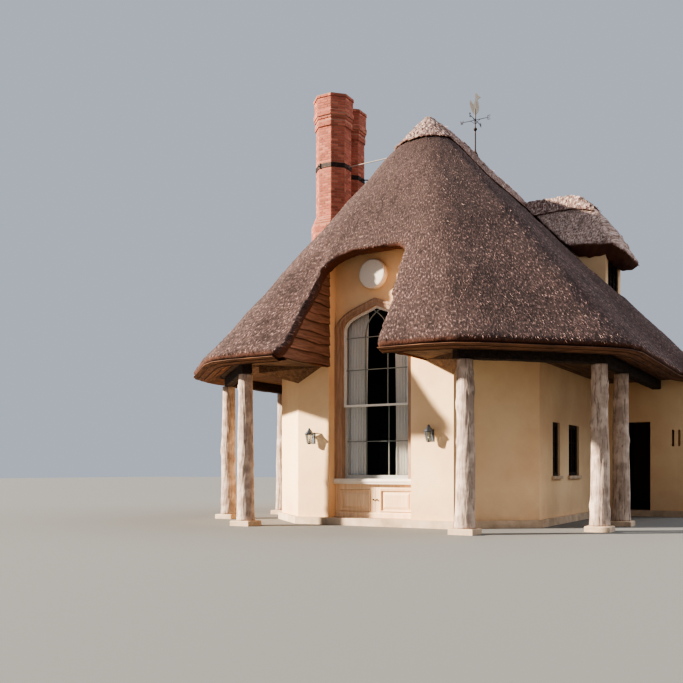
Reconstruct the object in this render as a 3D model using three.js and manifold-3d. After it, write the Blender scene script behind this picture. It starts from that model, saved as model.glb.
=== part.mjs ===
// Thatched cottage with a half-octagon garden front, a veranda on tree-trunk posts,
// a steep thatched roof with a dormer, twin brick chimney shafts and a weathervane.
// Millimetres, +Z up. The origin is on the ground, on the house axis under the roof peak.
// +X runs to the right along the window front, which faces -Y.
import * as THREE from 'three';
import { mergeVertices } from 'three/addons/utils/BufferGeometryUtils.js';
import { ConvexGeometry } from 'three/addons/geometries/ConvexGeometry.js';
import Module from 'manifold-3d';

const wasm = await Module();
wasm.setup();

const gap = 0.3; // free space between neighbouring pieces
const far = 20000; // longer than the house, for cutting bodies

// House plan, outer wall faces
const frontHalf = 1765;
const frontY = -2750;
const sideX = 3040;
const cantY = -1477;
const returnY = 3750;
const rearX = 4950;
const rearY = 9600;
const wallThick = 350;
const wallTallest = 7000; // walls are trimmed by the roof below this height

// Plinth and floor
const plinthTop = 150;
const plinthOut = 80;
const wallFoot = plinthTop + gap;

// Tall window bay in the front wall
const bayLeft = -1020;
const bayRight = 865;
const bayDepth = 316;
const bayY = frontY + bayDepth;
const bayWallThick = 300;
const bayWallHalf = 1550;
const windowMid = (bayLeft + bayRight) / 2;
const lightLeft = -840;
const lightRight = 685;
const sillBottom = 840;
const sillTop = 950;
const springZ = 4000;
const lightApex = 4500;
const surroundApex = 4640;
const meetingZ = 2460;

// Roof
const dripZ = 3320;
const capBaseZ = 8500;
const ridgeTopZ = 9140;
const eaveLowZ = 3100;
const eaveFrontX = 2607;
const eaveFrontY = -4780;
const eaveSideX = 5070;
const eaveCantY = -2330;
const eaveRearX = 5450;
const eaveRearY = 10200;
const peakRadius = 700;
const ridgeHalf = 530; // half the width of the roof at the height of capBaseZ
const ridgeEndY = 6700;
const thatchShift = 0.105; // thickness of the thatch, as a share of the run from eave to ridge
const capThick = 80;
const ridgeStrip = 600; // half the width of the cap along the ridge

// Veranda
const beamLow = 3070;
const beamHigh = 3290;
const beamWide = 220;
const ceilingThick = 25;
const rightPosts = { frontX: 2440, frontY: -3870, sideX: 4320, cantY: -1985, lastY: -150 };
const leftPosts = { frontX: 2310, frontY: -3870, sideX: 4190, cantY: -1985, lastY: 270 };

// Dormer, on the right slope
const dormerY = 5380;
const dormerHalf = 880;
const dormerFaceX = 2950;
const dormerRidgeZ = 8610;

// Chimney, on the left wall
const frontShaft = { x: -3150, y: 1060 };
const rearShaft = { x: -3300, y: 2040 };
const strapZ = 8870;
const strapThick = 14;
const stayRadius = 14;
const flueTop = 10665;

// Weathervane
const vaneY = 2940;
const armsZ = 10190;

const finish = (color, roughness, metalness = 0) => (
  new THREE.MeshStandardMaterial({ color, roughness, metalness }));
const render = finish(0xe6c9a4, 0.92);
const stone = finish(0xcfc4b0, 0.9);
const flooring = finish(0x8d7a63, 0.8);
const thatch = finish(0x7d6252, 1);
const cappingStraw = finish(0xa28a76, 1);
const bark = finish(0x9c8b7c, 0.95);
const darkTimber = finish(0x4b3a30, 0.85);
const boarding = finish(0x7a4e34, 0.85);
const mouldedTimber = finish(0xb07a4c, 0.6);
const whitePaint = finish(0xe4e2da, 0.5);
const creamPanel = finish(0xe2c496, 0.6);
const curtainCloth = finish(0xe9e4d6, 0.95);
const paneGlass = finish(0x2b3338, 0.1);
const redBrick = finish(0xa5482f, 0.9);
const ironwork = finish(0x3b3a3a, 0.6, 0.8);
const lanternMetal = finish(0x6d747a, 0.45, 0.8);

// A closed three.js geometry as a solid that can be joined and cut
function solid(geometry) {
  const bare = geometry.index ? geometry.toNonIndexed() : geometry.clone();
  bare.deleteAttribute('normal');
  bare.deleteAttribute('uv');
  const merged = mergeVertices(bare, 1e-2);
  const mesh = new wasm.Mesh({
    numProp: 3,
    vertProperties: new Float32Array(merged.attributes.position.array),
    triVerts: new Uint32Array(merged.index.array),
  });
  mesh.merge();
  return new wasm.Manifold(mesh);
}

// A solid's surface as a three.js geometry
function surface(body) {
  const mesh = body.getMesh();
  const geometry = new THREE.BufferGeometry();
  geometry.setAttribute('position', new THREE.BufferAttribute(new Float32Array(mesh.vertProperties), 3));
  geometry.setIndex(new THREE.BufferAttribute(new Uint32Array(mesh.triVerts), 1));
  return geometry.toNonIndexed();
}

function box(x0, x1, y0, y1, z0, z1) {
  const geometry = new THREE.BoxGeometry(x1 - x0, y1 - y0, z1 - z0);
  geometry.translate((x0 + x1) / 2, (y0 + y1) / 2, (z0 + z1) / 2);
  return solid(geometry);
}

function shapeFrom(points) {
  return new THREE.Shape(points.map(([x, y]) => new THREE.Vector2(x, y)));
}

// A plan outline raised from z0 to z1
function prism(points, z0, z1) {
  const geometry = new THREE.ExtrudeGeometry(shapeFrom(points), { depth: z1 - z0, bevelEnabled: false });
  geometry.translate(0, 0, z0);
  return solid(geometry);
}

// An upright outline in x and z, carried from yFront to yBack
function upright(shape, yFront, yBack, curveSegments = 10) {
  const depth = yBack - yFront;
  const geometry = new THREE.ExtrudeGeometry(shape, { depth, bevelEnabled: false, curveSegments });
  geometry.rotateX(Math.PI / 2);
  geometry.translate(0, yBack, 0);
  return solid(geometry);
}

function hull(points) {
  return solid(new ConvexGeometry(points.map((p) => new THREE.Vector3(...p))));
}

// A profile of [radius, z] turned round an upright axis at x, y
function turned(profile, x, y, sides, twist = 0) {
  const points = profile.map(([r, z]) => new THREE.Vector2(r, z));
  const geometry = new THREE.LatheGeometry(points, sides);
  geometry.rotateY(twist);
  geometry.rotateX(Math.PI / 2);
  geometry.translate(x, y, 0);
  return solid(geometry);
}

// A round bar between two points
function bar(from, to, radius, sides = 8) {
  const start = new THREE.Vector3(...from);
  const end = new THREE.Vector3(...to);
  const run = new THREE.Vector3().subVectors(end, start);
  const geometry = new THREE.CylinderGeometry(radius, radius, run.length(), sides);
  const turn = new THREE.Quaternion().setFromUnitVectors(new THREE.Vector3(0, 1, 0), run.clone().normalize());
  geometry.applyQuaternion(turn);
  geometry.translate(...start.add(end).multiplyScalar(0.5).toArray());
  return solid(geometry);
}

// Rings of points, lowest first and anticlockwise from above, joined into one closed body
function loft(rings) {
  const count = rings[0].length;
  const positions = rings.flat(2);
  const index = [];
  for (let level = 0; level < rings.length - 1; level += 1) {
    for (let i = 0; i < count; i += 1) {
      const a = level * count + i;
      const b = level * count + (i + 1) % count;
      index.push(a, b, b + count, a, b + count, a + count);
    }
  }
  const centre = (ring) => [0, 1, 2].map((axis) => ring.reduce((sum, p) => sum + p[axis], 0) / count);
  const low = rings.length * count;
  const high = low + 1;
  const lastRing = (rings.length - 1) * count;
  positions.push(...centre(rings[0]), ...centre(rings[rings.length - 1]));
  for (let i = 0; i < count; i += 1) {
    const next = (i + 1) % count;
    index.push(low, next, i, high, lastRing + i, lastRing + next);
  }
  const geometry = new THREE.BufferGeometry();
  geometry.setAttribute('position', new THREE.Float32BufferAttribute(positions, 3));
  geometry.setIndex(index);
  return solid(geometry);
}

const joined = (...bodies) => bodies.reduce((sum, body) => sum.add(body));
const less = (body, ...cutters) => cutters.reduce((rest, cutter) => rest.subtract(cutter), body);
const mirrored = (body) => body.mirror([1, 0, 0]);

// The outline moved outwards by a distance, with its corners kept sharp
function offsetOutline(points, distance) {
  const count = points.length;
  return points.map((point, i) => {
    const before = points[(i + count - 1) % count];
    const after = points[(i + 1) % count];
    const d1 = new THREE.Vector2(point[0] - before[0], point[1] - before[1]).normalize();
    const d2 = new THREE.Vector2(after[0] - point[0], after[1] - point[1]).normalize();
    const n1 = new THREE.Vector2(d1.y, -d1.x);
    const n2 = new THREE.Vector2(d2.y, -d2.x);
    const reach = distance / (1 + n1.dot(n2));
    return [point[0] + (n1.x + n2.x) * reach, point[1] + (n1.y + n2.y) * reach];
  });
}

const outline = [
  [-frontHalf, frontY], [frontHalf, frontY], [sideX, cantY], [sideX, returnY], [rearX, returnY],
  [rearX, rearY], [-rearX, rearY], [-rearX, returnY], [-sideX, returnY], [-sideX, cantY],
];

// Roof surface. Each line of the roof runs from a point of the eave to a point near the ridge.
// Both lists hold the right half, from the middle of the front to the middle of the back.
const cornerCut = 560; // length taken off each side of a corner where the eave is rounded
const cutNear = cornerCut * 0.076; // how far the rounding's middle lies from the corner
const cutFar = cornerCut * 0.183;
const cantCut = cornerCut * Math.SQRT1_2;
const octant = (degrees) => [
  peakRadius * Math.sin(degrees * Math.PI / 180), -peakRadius * Math.cos(degrees * Math.PI / 180),
];
const roofLines = [
  [[0, eaveFrontY], octant(0)],
  [[eaveFrontX / 2, eaveFrontY], octant(13)],
  [[eaveFrontX - cornerCut, eaveFrontY], octant(21)],
  [[eaveFrontX - cutNear, eaveFrontY + cutFar], octant(26)],
  [[eaveFrontX + cantCut, eaveFrontY + cantCut], octant(31)],
  [[(eaveFrontX + eaveSideX) / 2, (eaveFrontY + eaveCantY) / 2], octant(45)],
  [[eaveSideX - cantCut, eaveCantY - cantCut], octant(59)],
  [[eaveSideX - cutFar, eaveCantY + cutNear], octant(64)],
  [[eaveSideX, eaveCantY + cornerCut], octant(69)],
  [[eaveSideX, 0], [peakRadius * 0.93, 150]],
  [[eaveSideX, 1200], [ridgeHalf + 60, 1200]],
  [[eaveSideX, 2450], [ridgeHalf, 2450]],
  [[eaveSideX + 90, 2900], [ridgeHalf, 2900]],
  [[eaveRearX - 90, 3400], [ridgeHalf, 3400]],
  [[eaveRearX, 3850], [ridgeHalf, 3850]],
  [[eaveRearX, 6400], [ridgeHalf, 6100]],
  [[eaveRearX, eaveRearY - 900], [ridgeHalf * 0.85, ridgeEndY - 200]],
  [[eaveRearX - 260, eaveRearY - 260], [ridgeHalf * 0.6, ridgeEndY - 80]],
  [[eaveRearX - 900, eaveRearY], [ridgeHalf * 0.4, ridgeEndY - 30]],
  [[0, eaveRearY], [0, ridgeEndY]],
];

// The ridge swells a little behind the peak: a bell curve along Y
const swell = (y) => Math.exp(-(((y - 1900) / 1300) ** 2));

// The roof's plan outline at a share of the way from the eave to the ridge, anticlockwise
function roofRing(share, z, shrink = 1, rise = 0) {
  const right = roofLines.map(([eave, top]) => {
    const x = eave[0] + (top[0] - eave[0]) * share;
    const y = eave[1] + (top[1] - eave[1]) * share;
    const middleY = Math.min(Math.max(y, 0), ridgeEndY - 100);
    return [x * shrink, middleY + (y - middleY) * shrink, z + rise * swell(y)];
  });
  const left = right.slice(1, -1).reverse().map(([x, y, height]) => [-x, y, height]);
  return [...right, ...left];
}

const roofHeight = (share) => dripZ + (capBaseZ - dripZ) * share;
const shares = [0.12, 0.3, 0.5, 0.7, 0.88, 1];
const roofOuter = loft([
  roofRing(0.058, eaveLowZ),
  roofRing(0.006, dripZ - 35),
  roofRing(0, dripZ + 35),
  ...shares.map((share) => roofRing(share, roofHeight(share))),
  roofRing(1, capBaseZ + (ridgeTopZ - capBaseZ) * 0.55, 0.52, 60),
  roofRing(1, ridgeTopZ, 0.1, 130),
]);
const lowShare = (eaveLowZ - dripZ) / (capBaseZ - dripZ);
const roofVoid = loft([
  roofRing(lowShare + thatchShift, -far / 10),
  roofRing(lowShare + thatchShift, eaveLowZ),
  ...shares.filter((share) => share < 0.9).map((share) => roofRing(share + thatchShift, roofHeight(share))),
  roofRing(1, roofHeight(1 - thatchShift) + 300, 0.4),
]);
const underRoof = roofVoid.translate([0, 0, -2 * gap]);
const overRoof = roofOuter.translate([0, 0, gap]);

// Dormer bodies: the thatched hood and the room under it
const dormerPoints = (list) => list.flatMap(([x, side, z]) => (
  side === 0 ? [[x, dormerY, z]] : [[x, dormerY - side, z], [x, dormerY + side, z]]));
const dormerOuter = hull(dormerPoints([
  [300, 0, dormerRidgeZ], [1810, 0, dormerRidgeZ], [2100, 130, 8500], [2580, 290, 8070], [3130, 390, 7390],
  [3540, 480, 6620], [3460, 860, 6700], [3170, 1100, 6900], [1900, 1265, 6980], [300, 1265, 6980],
  [3330, 440, 6500], [3250, 800, 6570], [3010, 980, 6770], [1900, 1100, 6870], [300, 1100, 6870],
]));
const dormerVoid = hull(dormerPoints([
  [300, dormerHalf, 5200], [dormerFaceX, dormerHalf, 5200], [300, dormerHalf, 6960],
  [300, 0, 8130], [1850, 0, 8130], [2810, dormerHalf, 6960], [dormerFaceX, dormerHalf, 6800],
]));

// The gap in the thatch over the tall window: a leaning right side, rounded top, flared left foot
const thatchGap = {
  left: -900, flare: 230, right: 880, rightFoot: 1190, top: 5470, wideCorner: 600, tightCorner: 180,
  foot: eaveLowZ - 200,
};

function windowGap(grow) {
  const { flare, foot, wideCorner, tightCorner } = thatchGap;
  const left = thatchGap.left - grow;
  const right = thatchGap.right + grow;
  const top = thatchGap.top + grow;
  const shape = new THREE.Shape();
  shape.moveTo(left - flare, foot);
  shape.lineTo(thatchGap.rightFoot + grow, foot);
  shape.lineTo(right, top - tightCorner);
  shape.absarc(right - tightCorner, top - tightCorner, tightCorner, 0, Math.PI / 2, false);
  shape.lineTo(left + wideCorner, top);
  shape.absarc(left + wideCorner, top - wideCorner, wideCorner, Math.PI / 2, Math.PI, false);
  shape.lineTo(left, foot + 900);
  shape.quadraticCurveTo(left, foot + 350, left - flare, foot);
  return upright(shape, -6000, -2000, 6);
}

// Chimney: a brick breast in the left wall, and over it the octagonal foot of each shaft
const breast = { x0: -3790, x1: -2900, y0: 500, y1: 2600 };
const headFoot = 4100;
const footRadius = 575;
const footTop = 7370;
const splayTop = 7590;
const shaftRadius = 455;
const flat = Math.cos(Math.PI / 8); // share of an octagon's radius that reaches its flats
const octagon = (profile, { x, y }) => turned(profile, x, y, 8, Math.PI / 8);

// The breast and both feet as one body, or the room that they take with free space round them
function stackBody(grow, top = splayTop) {
  const radius = footRadius + grow / flat;
  const foot = [[0, headFoot - grow], [radius, headFoot - grow], [radius, footTop]];
  const profile = grow > 0
    ? [...foot.slice(0, 2), [radius, top], [0, top]]
    : [...foot, [shaftRadius + 25, splayTop], [0, splayTop]];
  return joined(
    box(breast.x0 - grow, breast.x1 + grow, breast.y0 - grow, breast.y1 + grow, -grow, headFoot + 10 + grow),
    octagon(profile, frontShaft), octagon(profile, rearShaft));
}

const stackSpace = stackBody(gap, 8000);

const cottage = new THREE.Group();

function place(name, body, material) {
  const mesh = new THREE.Mesh(surface(body), material);
  mesh.name = name;
  cottage.add(mesh);
}

// Walls
const innerOutline = offsetOutline(outline, -wallThick);

// One straight stretch of wall between two corners, mitred, as a plan outline
function wallPlan(first) {
  const second = (first + 1) % outline.length;
  const ends = [outline[first], outline[second], innerOutline[second], innerOutline[first]];
  const along = new THREE.Vector2(ends[1][0] - ends[0][0], ends[1][1] - ends[0][1]).normalize();
  const pull = [gap, -gap, -gap, gap];
  return ends.map(([x, y], i) => [x + along.x * pull[i], y + along.y * pull[i]]);
}

const raised = (plan) => prism(plan, wallFoot, wallTallest).intersect(underRoof);

const casement = { y0: -560, y1: -40, z0: 1000, z1: 2120 };
const twoLight = { y0: 660, y1: 1500, z0: 1000, z1: 2120 };
const leftRear = { y0: 2760, y1: 3280, z0: 1000, z1: 2120 };
const rearLight = { near: 5600, farther: 6440, z0: 1000, z1: 2120 };
const backLight = { near: 1500, farther: 2340, z0: 1000, z1: 2120 };
const doorway = { x0: 3280, x1: 4180, top: 2300 };
const slots = [4700, 4840];

function sideOpening(window, side) {
  const x = side * (sideX - wallThick / 2);
  return box(x - 400, x + 400, window.y0, window.y1, window.z0, window.z1);
}

function buildWalls() {
  const mitre = (bayDepth - gap) * Math.tan(Math.PI / 8);
  const pier = (side, edge) => raised([
    [side * (frontHalf - gap), frontY], [edge, frontY],
    [edge, bayY - gap], [side * (frontHalf - mitre - gap), bayY - gap],
  ]);
  place('front_wall_right', pier(1, bayRight), render);
  place('front_wall_left', pier(-1, bayLeft), render);
  const bayWall = box(-bayWallHalf, bayWallHalf, bayY, bayY + bayWallThick, wallFoot, wallTallest);
  place('window_wall', less(bayWall.intersect(underRoof), surroundOpening(gap)), render);
  place('canted_wall_right', raised(wallPlan(1)), render);
  place('canted_wall_left', raised(wallPlan(9)), render);
  const sideRight = less(raised(wallPlan(2)), sideOpening(casement, 1), sideOpening(twoLight, 1));
  place('side_wall_right', sideRight, render);
  const sideLeft = less(
    raised(wallPlan(8)), sideOpening(casement, -1), sideOpening(leftRear, -1), stackSpace);
  place('side_wall_left', sideLeft, render);
  const doorCut = box(doorway.x0, doorway.x1, returnY - 500, returnY + 900, 0, doorway.top);
  const slotCuts = slots.map((x) => box(x - 28, x + 28, returnY - 500, returnY + 900, 1700, 2090));
  place('return_wall_right', less(raised(wallPlan(3)), doorCut, ...slotCuts), render);
  place('return_wall_left', raised(wallPlan(7)), render);
  const rearCut = box(-far, far, rearLight.near, rearLight.farther, rearLight.z0, rearLight.z1);
  place('rear_side_wall_right', less(raised(wallPlan(4)), rearCut), render);
  place('rear_side_wall_left', less(raised(wallPlan(6)), rearCut), render);
  const backCuts = [1, -1].map((side) => {
    const edges = [side * backLight.near, side * backLight.farther].sort((a, b) => a - b);
    return box(edges[0], edges[1], rearY - 900, rearY + 500, backLight.z0, backLight.z1);
  });
  place('rear_wall', less(raised(wallPlan(5)), ...backCuts), render);
}

function buildBase() {
  const inner = offsetOutline(outline, -wallThick - plinthOut);
  const rim = prism(offsetOutline(outline, plinthOut), 0, plinthTop);
  place('plinth', less(rim, prism(inner, -100, 1000), stackSpace), stone);
  const slab = prism(offsetOutline(outline, -wallThick - plinthOut - gap), 0, plinthTop);
  place('floor', less(slab, stackSpace), flooring);
}

// Tall window. The head is a low pointed arch: a curve from each springing to the apex.
function archOutline(left, right, foot, apex, grow = 0) {
  const mid = windowMid;
  const top = apex + grow;
  const rise = apex - springZ;
  const width = mid - left;
  const shoulder = springZ + rise * 0.6;
  const crown = springZ + rise * 0.66 + grow;
  const reach = width * 0.48;
  const shape = new THREE.Shape();
  shape.moveTo(left - grow, foot);
  shape.lineTo(right + grow, foot);
  shape.lineTo(right + grow, springZ);
  shape.bezierCurveTo(right + grow, shoulder, mid + reach, crown, mid, top);
  shape.bezierCurveTo(mid - reach, crown, left - grow, shoulder, left - grow, springZ);
  shape.lineTo(left - grow, foot);
  return shape;
}

function surroundOpening(grow) {
  const shape = archOutline(bayLeft, bayRight, 0, surroundApex, grow);
  return upright(shape, bayY - 400, bayY + 700);
}

function lightBody(inset, foot, yFront, yBack) {
  const shape = archOutline(lightLeft + inset, lightRight - inset, foot, lightApex - inset);
  return upright(shape, yFront, yBack);
}

function buildWindow() {
  const outer = upright(
    archOutline(bayLeft + gap, bayRight - gap, sillTop + gap, surroundApex - gap), bayY - 70, bayY + 150);
  place('window_surround', less(outer, lightBody(0, 0, bayY - 400, bayY + 400)), mouldedTimber);
  const rail = 55;
  const upperY = bayY + 15;
  const lowerY = upperY + 52;
  const meeting = 45;
  const upperFoot = meetingZ - meeting / 2;
  const upper = less(
    lightBody(gap, upperFoot, upperY, upperY + 45),
    lightBody(rail, upperFoot + meeting, upperY - 100, upperY + 200));
  place('upper_sash', upper, whitePaint);
  const lowerTop = meetingZ + meeting / 2;
  const lower = less(
    box(lightLeft + gap, lightRight - gap, lowerY, lowerY + 45, sillTop + gap, lowerTop),
    box(lightLeft + rail, lightRight - rail, lowerY - 50, lowerY + 95, sillTop + 75, lowerTop - meeting));
  place('lower_sash', lower, whitePaint);
  place('window_glass', lightBody(5, sillTop + 5, upperY + 45 + gap, lowerY - gap), paneGlass);
  const sill = box(bayLeft + gap, bayRight - gap, bayY - 110, bayY + 260, sillBottom + gap, sillTop);
  place('window_sill', sill, stone);
  buildBasePanels();
  buildCurtains();
  const disc = turned([
    [0, 0], [300, 0], [300, 142], [282, 160], [150, 166], [0, 168]], 0, 0, 32);
  place('roundel', disc.rotate([90, 0, 0]).translate([windowMid - 20, bayY - gap, 5125]), stone);
}

// Two panelled leaves closing the bay below the sill
function buildBasePanels() {
  const front = bayY - 20;
  const back = bayY + 60;
  const leaves = box(bayLeft + gap, bayRight - gap, front, back, wallFoot, sillBottom);
  const stile = 110;
  const panel = (x0, x1) => box(
    x0 + stile, x1 - stile, front - 50, front + 18, wallFoot + 120, sillBottom - 110);
  const joint = box(windowMid - 3, windowMid + 3, front - 50, front + 12, 0, sillBottom + 50);
  const panels = less(leaves, panel(bayLeft, windowMid), panel(windowMid, bayRight), joint);
  place('base_panels', panels, creamPanel);
}

// Curtains hang inside the window from the arch, at both sides
function buildCurtains() {
  const y0 = bayY + 170;
  const y1 = y0 + 90;
  const inside = upright(archOutline(bayLeft, bayRight, sillTop + 40, surroundApex, -gap), y0, y1);
  place('curtain_left', inside.intersect(box(-far, -340, -far, far, 0, far)), curtainCloth);
  place('curtain_right', inside.intersect(box(240, far, -far, far, 0, far)), curtainCloth);
}

// Sheets of glass behind the small windows of each wall
function buildSideGlass() {
  const sheet = 6;
  const inset = 60;
  const pane = (name, x0, x1, y0, y1, windows) => {
    const z0 = windows.z0 - inset;
    const z1 = windows.z1 + inset;
    place(name, box(x0, x1, y0, y1, z0, z1), paneGlass);
  };
  const inner = sideX - wallThick - gap;
  pane('side_glass_right', inner - sheet, inner, casement.y0 - inset, twoLight.y1 + inset, casement);
  pane('side_glass_left_front', -inner, -inner + sheet, casement.y0 - inset, casement.y1 + inset, casement);
  pane('side_glass_left_rear', -inner, -inner + sheet, leftRear.y0 - inset, leftRear.y1 + inset, leftRear);
  const rearInner = rearX - wallThick - gap;
  const [near, farther] = [rearLight.near - inset, rearLight.farther + inset];
  pane('rear_side_glass_right', rearInner - sheet, rearInner, near, farther, rearLight);
  pane('rear_side_glass_left', -rearInner, -rearInner + sheet, near, farther, rearLight);
  const back = rearY - wallThick - gap;
  const wide = backLight.farther + inset;
  pane('rear_glass', -wide, wide, back - sheet, back, backLight);
}

// Veranda: tree-trunk posts on stone pads, beams, boarded ceilings and cheeks.
// A trunk is rings of points that narrow upwards and sway a little off the upright.
function trunk(x, y, seed) {
  const rings = [];
  const levels = 7;
  const sides = 10;
  const foot = 100;
  const top = beamLow - gap;
  for (let level = 0; level <= levels; level += 1) {
    const t = level / levels;
    const radius = 172 - 30 * t + 5 * Math.sin(5 * t + seed);
    const sway = Math.sin(Math.PI * t);
    const cx = x + 14 * sway * Math.sin(3.1 * t + seed);
    const cy = y + 14 * sway * Math.cos(2.3 * t + seed * 1.7);
    const ring = [];
    for (let i = 0; i < sides; i += 1) {
      const angle = (2 * Math.PI * i) / sides;
      const knot = 1 + 0.03 * Math.sin(3 * angle + seed + 4 * t);
      ring.push([
        cx + radius * knot * Math.cos(angle), cy + radius * knot * Math.sin(angle), foot + (top - foot) * t]);
    }
    rings.push(ring);
  }
  const pad = box(x - 230, x + 230, y - 230, y + 230, 0, 110);
  return joined(loft(rings), pad);
}

function buildPosts(side, line, seed) {
  const name = side > 0 ? 'right' : 'left';
  place(`post_front_${name}`, trunk(side * line.frontX, line.frontY, seed), bark);
  place(`post_corner_${name}`, trunk(side * line.sideX, line.cantY, seed + 1), bark);
  place(`post_side_${name}`, trunk(side * line.sideX, line.lastY, seed + 2), bark);
}

// A beam on the posts of one side, as on the right: from a short way past the front post,
// along the canted front and round the corner to the return wall
function beamRun(line) {
  const w = beamWide / 2;
  const skew = w * Math.tan(Math.PI / 8);
  const d = w * Math.SQRT1_2;
  const over = 190 * Math.SQRT1_2;
  const start = [line.frontX - over, line.frontY - over];
  const plan = [
    [start[0] + d, start[1] - d], [line.sideX + w, line.cantY - skew], [line.sideX + w, returnY - gap],
    [line.sideX - w, returnY - gap], [line.sideX - w, line.cantY + skew], [start[0] - d, start[1] + d],
  ];
  return prism(plan, beamLow, beamHigh);
}

function ceilingRun() {
  const out = offsetOutline(outline, 1900);
  const near = offsetOutline(outline, gap);
  const plan = [
    [cheek.right + gap, out[1][1]], out[1], out[2], [out[2][0], returnY - gap],
    [near[3][0], returnY - gap], near[2], near[1], [cheek.right + gap, near[1][1]],
  ];
  const low = beamHigh + gap;
  const slab = prism(plan, low, low + ceilingThick);
  const wedge = hull([
    [cheek.right + gap, frontY - gap, low + 5], [frontHalf, frontY - gap, low + 5],
    [rightPosts.frontX - 230, rightPosts.frontY + 330, low + 5],
    [cheek.right + gap, frontY - gap, low - 20], [frontHalf, frontY - gap, 2960],
    [rightPosts.frontX - 230, rightPosts.frontY + 330, beamLow + 60],
  ]);
  return joined(slab, wedge);
}

const cheek = { left: -1050, right: 1200, thick: 30, foot: 3255, behind: 20 };

// The right cheek leans with the side of the thatch's gap, a little behind it
function leaningCheek() {
  const { right, rightFoot, top, foot } = thatchGap;
  const lean = (right - rightFoot) / (top - foot);
  const edge = (z) => rightFoot + lean * (z - foot) + cheek.behind;
  const { thick } = cheek;
  return upright(shapeFrom([
    [edge(cheek.foot), cheek.foot], [edge(cheek.foot) + thick, cheek.foot],
    [edge(top) + thick, top], [edge(top), top],
  ]), eaveFrontY, frontY - gap);
}

function buildVeranda() {
  buildPosts(1, rightPosts, 0.7);
  buildPosts(-1, leftPosts, 3.9);
  place('beam_right', beamRun(rightPosts), darkTimber);
  place('beam_left', mirrored(beamRun(leftPosts)), darkTimber);
  const ceiling = ceilingRun();
  place('veranda_ceiling_right', ceiling.intersect(underRoof), boarding);
  const leftCeiling = less(mirrored(ceiling), box(cheek.left - gap, 0, -far, far, 0, far), stackSpace);
  place('veranda_ceiling_left', leftCeiling.intersect(underRoof), boarding);
  const leftCheek = box(
    cheek.left, cheek.left + cheek.thick, eaveFrontY, frontY - gap, cheek.foot, wallTallest);
  place('cheek_left', leftCheek.intersect(underRoof), boarding);
  place('cheek_right', leaningCheek().intersect(underRoof), boarding);
}

// Roof: thatch with its window gap, patterned caps on the peak and along the ridge
const bonnet = { x: -50, radius: 740, back: 420 };
const raisedRoof = roofOuter.translate([0, 0, capThick]);
const bonnetZone = turned(
  [[0, 8000], [bonnet.radius, 8000], [bonnet.radius, 9600], [0, 9600]], bonnet.x, 0, 32)
  .intersect(box(-far, far, -far, bonnet.back, 0, far));

function buildRoof() {
  const shell = less(roofOuter, roofVoid, windowGap(0), stackSpace, dormerVoid);
  place('main_thatch', shell, thatch);
  place('peak_cap', less(raisedRoof.intersect(bonnetZone), overRoof), cappingStraw);
  const strip = box(-ridgeStrip, ridgeStrip, bonnet.back + gap, ridgeEndY + 250, 7800, 9600);
  const ridge = less(raisedRoof.intersect(strip), overRoof, dormerOuter.translate([0, 0, 2 * gap]));
  place('ridge_cap', ridge, cappingStraw);
}

function buildDormer() {
  place('dormer_thatch', less(dormerOuter, dormerVoid, overRoof), thatch);
  const capZone = box(400, 2530, dormerY - 450, dormerY + 450, 7600, 9500);
  const cap = dormerOuter.translate([0, 0, capThick * 0.8]).intersect(capZone);
  const dormerCap = less(cap, dormerOuter.translate([0, 0, gap]), ridgeCapSpace(), overRoof);
  place('dormer_ridge_cap', largest(dormerCap), cappingStraw);
  const wall = 150;
  const front = dormerFaceX - gap;
  const side = dormerHalf - gap;
  const shell = less(
    box(1700, front, dormerY - side, dormerY + side, 5200, 8200),
    box(1000, front - wall, dormerY - side + wall, dormerY + side - wall, 5000, 8300),
    box(2000, 4000, dormerWindow.y0, dormerWindow.y1, dormerWindow.z0, dormerWindow.z1));
  const walls = less(shell.intersect(dormerVoid.translate([0, 0, -2 * gap])), roofVoid);
  place('dormer_walls', walls, render);
  const frame = dormerFrame();
  place('dormer_window', frame, darkTimber);
  const { y0, y1, z0, z1 } = dormerWindow;
  const sheetX = front - wall - gap;
  place('dormer_glass', box(sheetX - 6, sheetX, y0 - 40, y1 + 40, z0 - 40, z1 + 40), paneGlass);
}

const dormerWindow = { y0: dormerY - 600, y1: dormerY + 600, z0: 5900, z1: 6610 };

// The room that the ridge cap takes, with a little free space round it
function ridgeCapSpace() {
  const grown = roofOuter.translate([0, 0, capThick + gap]);
  return grown.intersect(box(-ridgeStrip - gap, ridgeStrip + gap, 0, ridgeEndY + 350, 7700, 9600));
}

// Dark timber frame with two uprights, set in the dormer's window
function dormerFrame() {
  const { y0, y1, z0, z1 } = dormerWindow;
  const x1 = dormerFaceX - 30;
  const x0 = x1 - 70;
  const rail = 60;
  const outer = box(x0, x1, y0 + gap, y1 - gap, z0 + gap, z1 - gap);
  const lights = 3;
  const pitch = (y1 - y0 - rail) / lights;
  const holes = Array.from({ length: lights }, (_, i) => box(
    x0 - 50, x1 + 50, y0 + rail + i * pitch, y0 + (i + 1) * pitch, z0 + rail, z1 - rail));
  return less(outer, ...holes);
}

// A shaft stands on its foot. Its cap is a drum with a thin rim, hollow for the flue.
function shaft(at) {
  const drum = 522;
  const flue = 300;
  return octagon([
    [0, splayTop + gap], [shaftRadius + 25, splayTop + gap], [shaftRadius, 7640], [shaftRadius, 9850],
    [486, 9875], [486, 10010], [466, 10035], [drum, 10170], [drum, 10250], [498, 10275], [506, 10590],
    [drum, 10610], [drum, flueTop], [flue, flueTop], [flue, 10250], [0, 10250],
  ], at);
}

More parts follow.
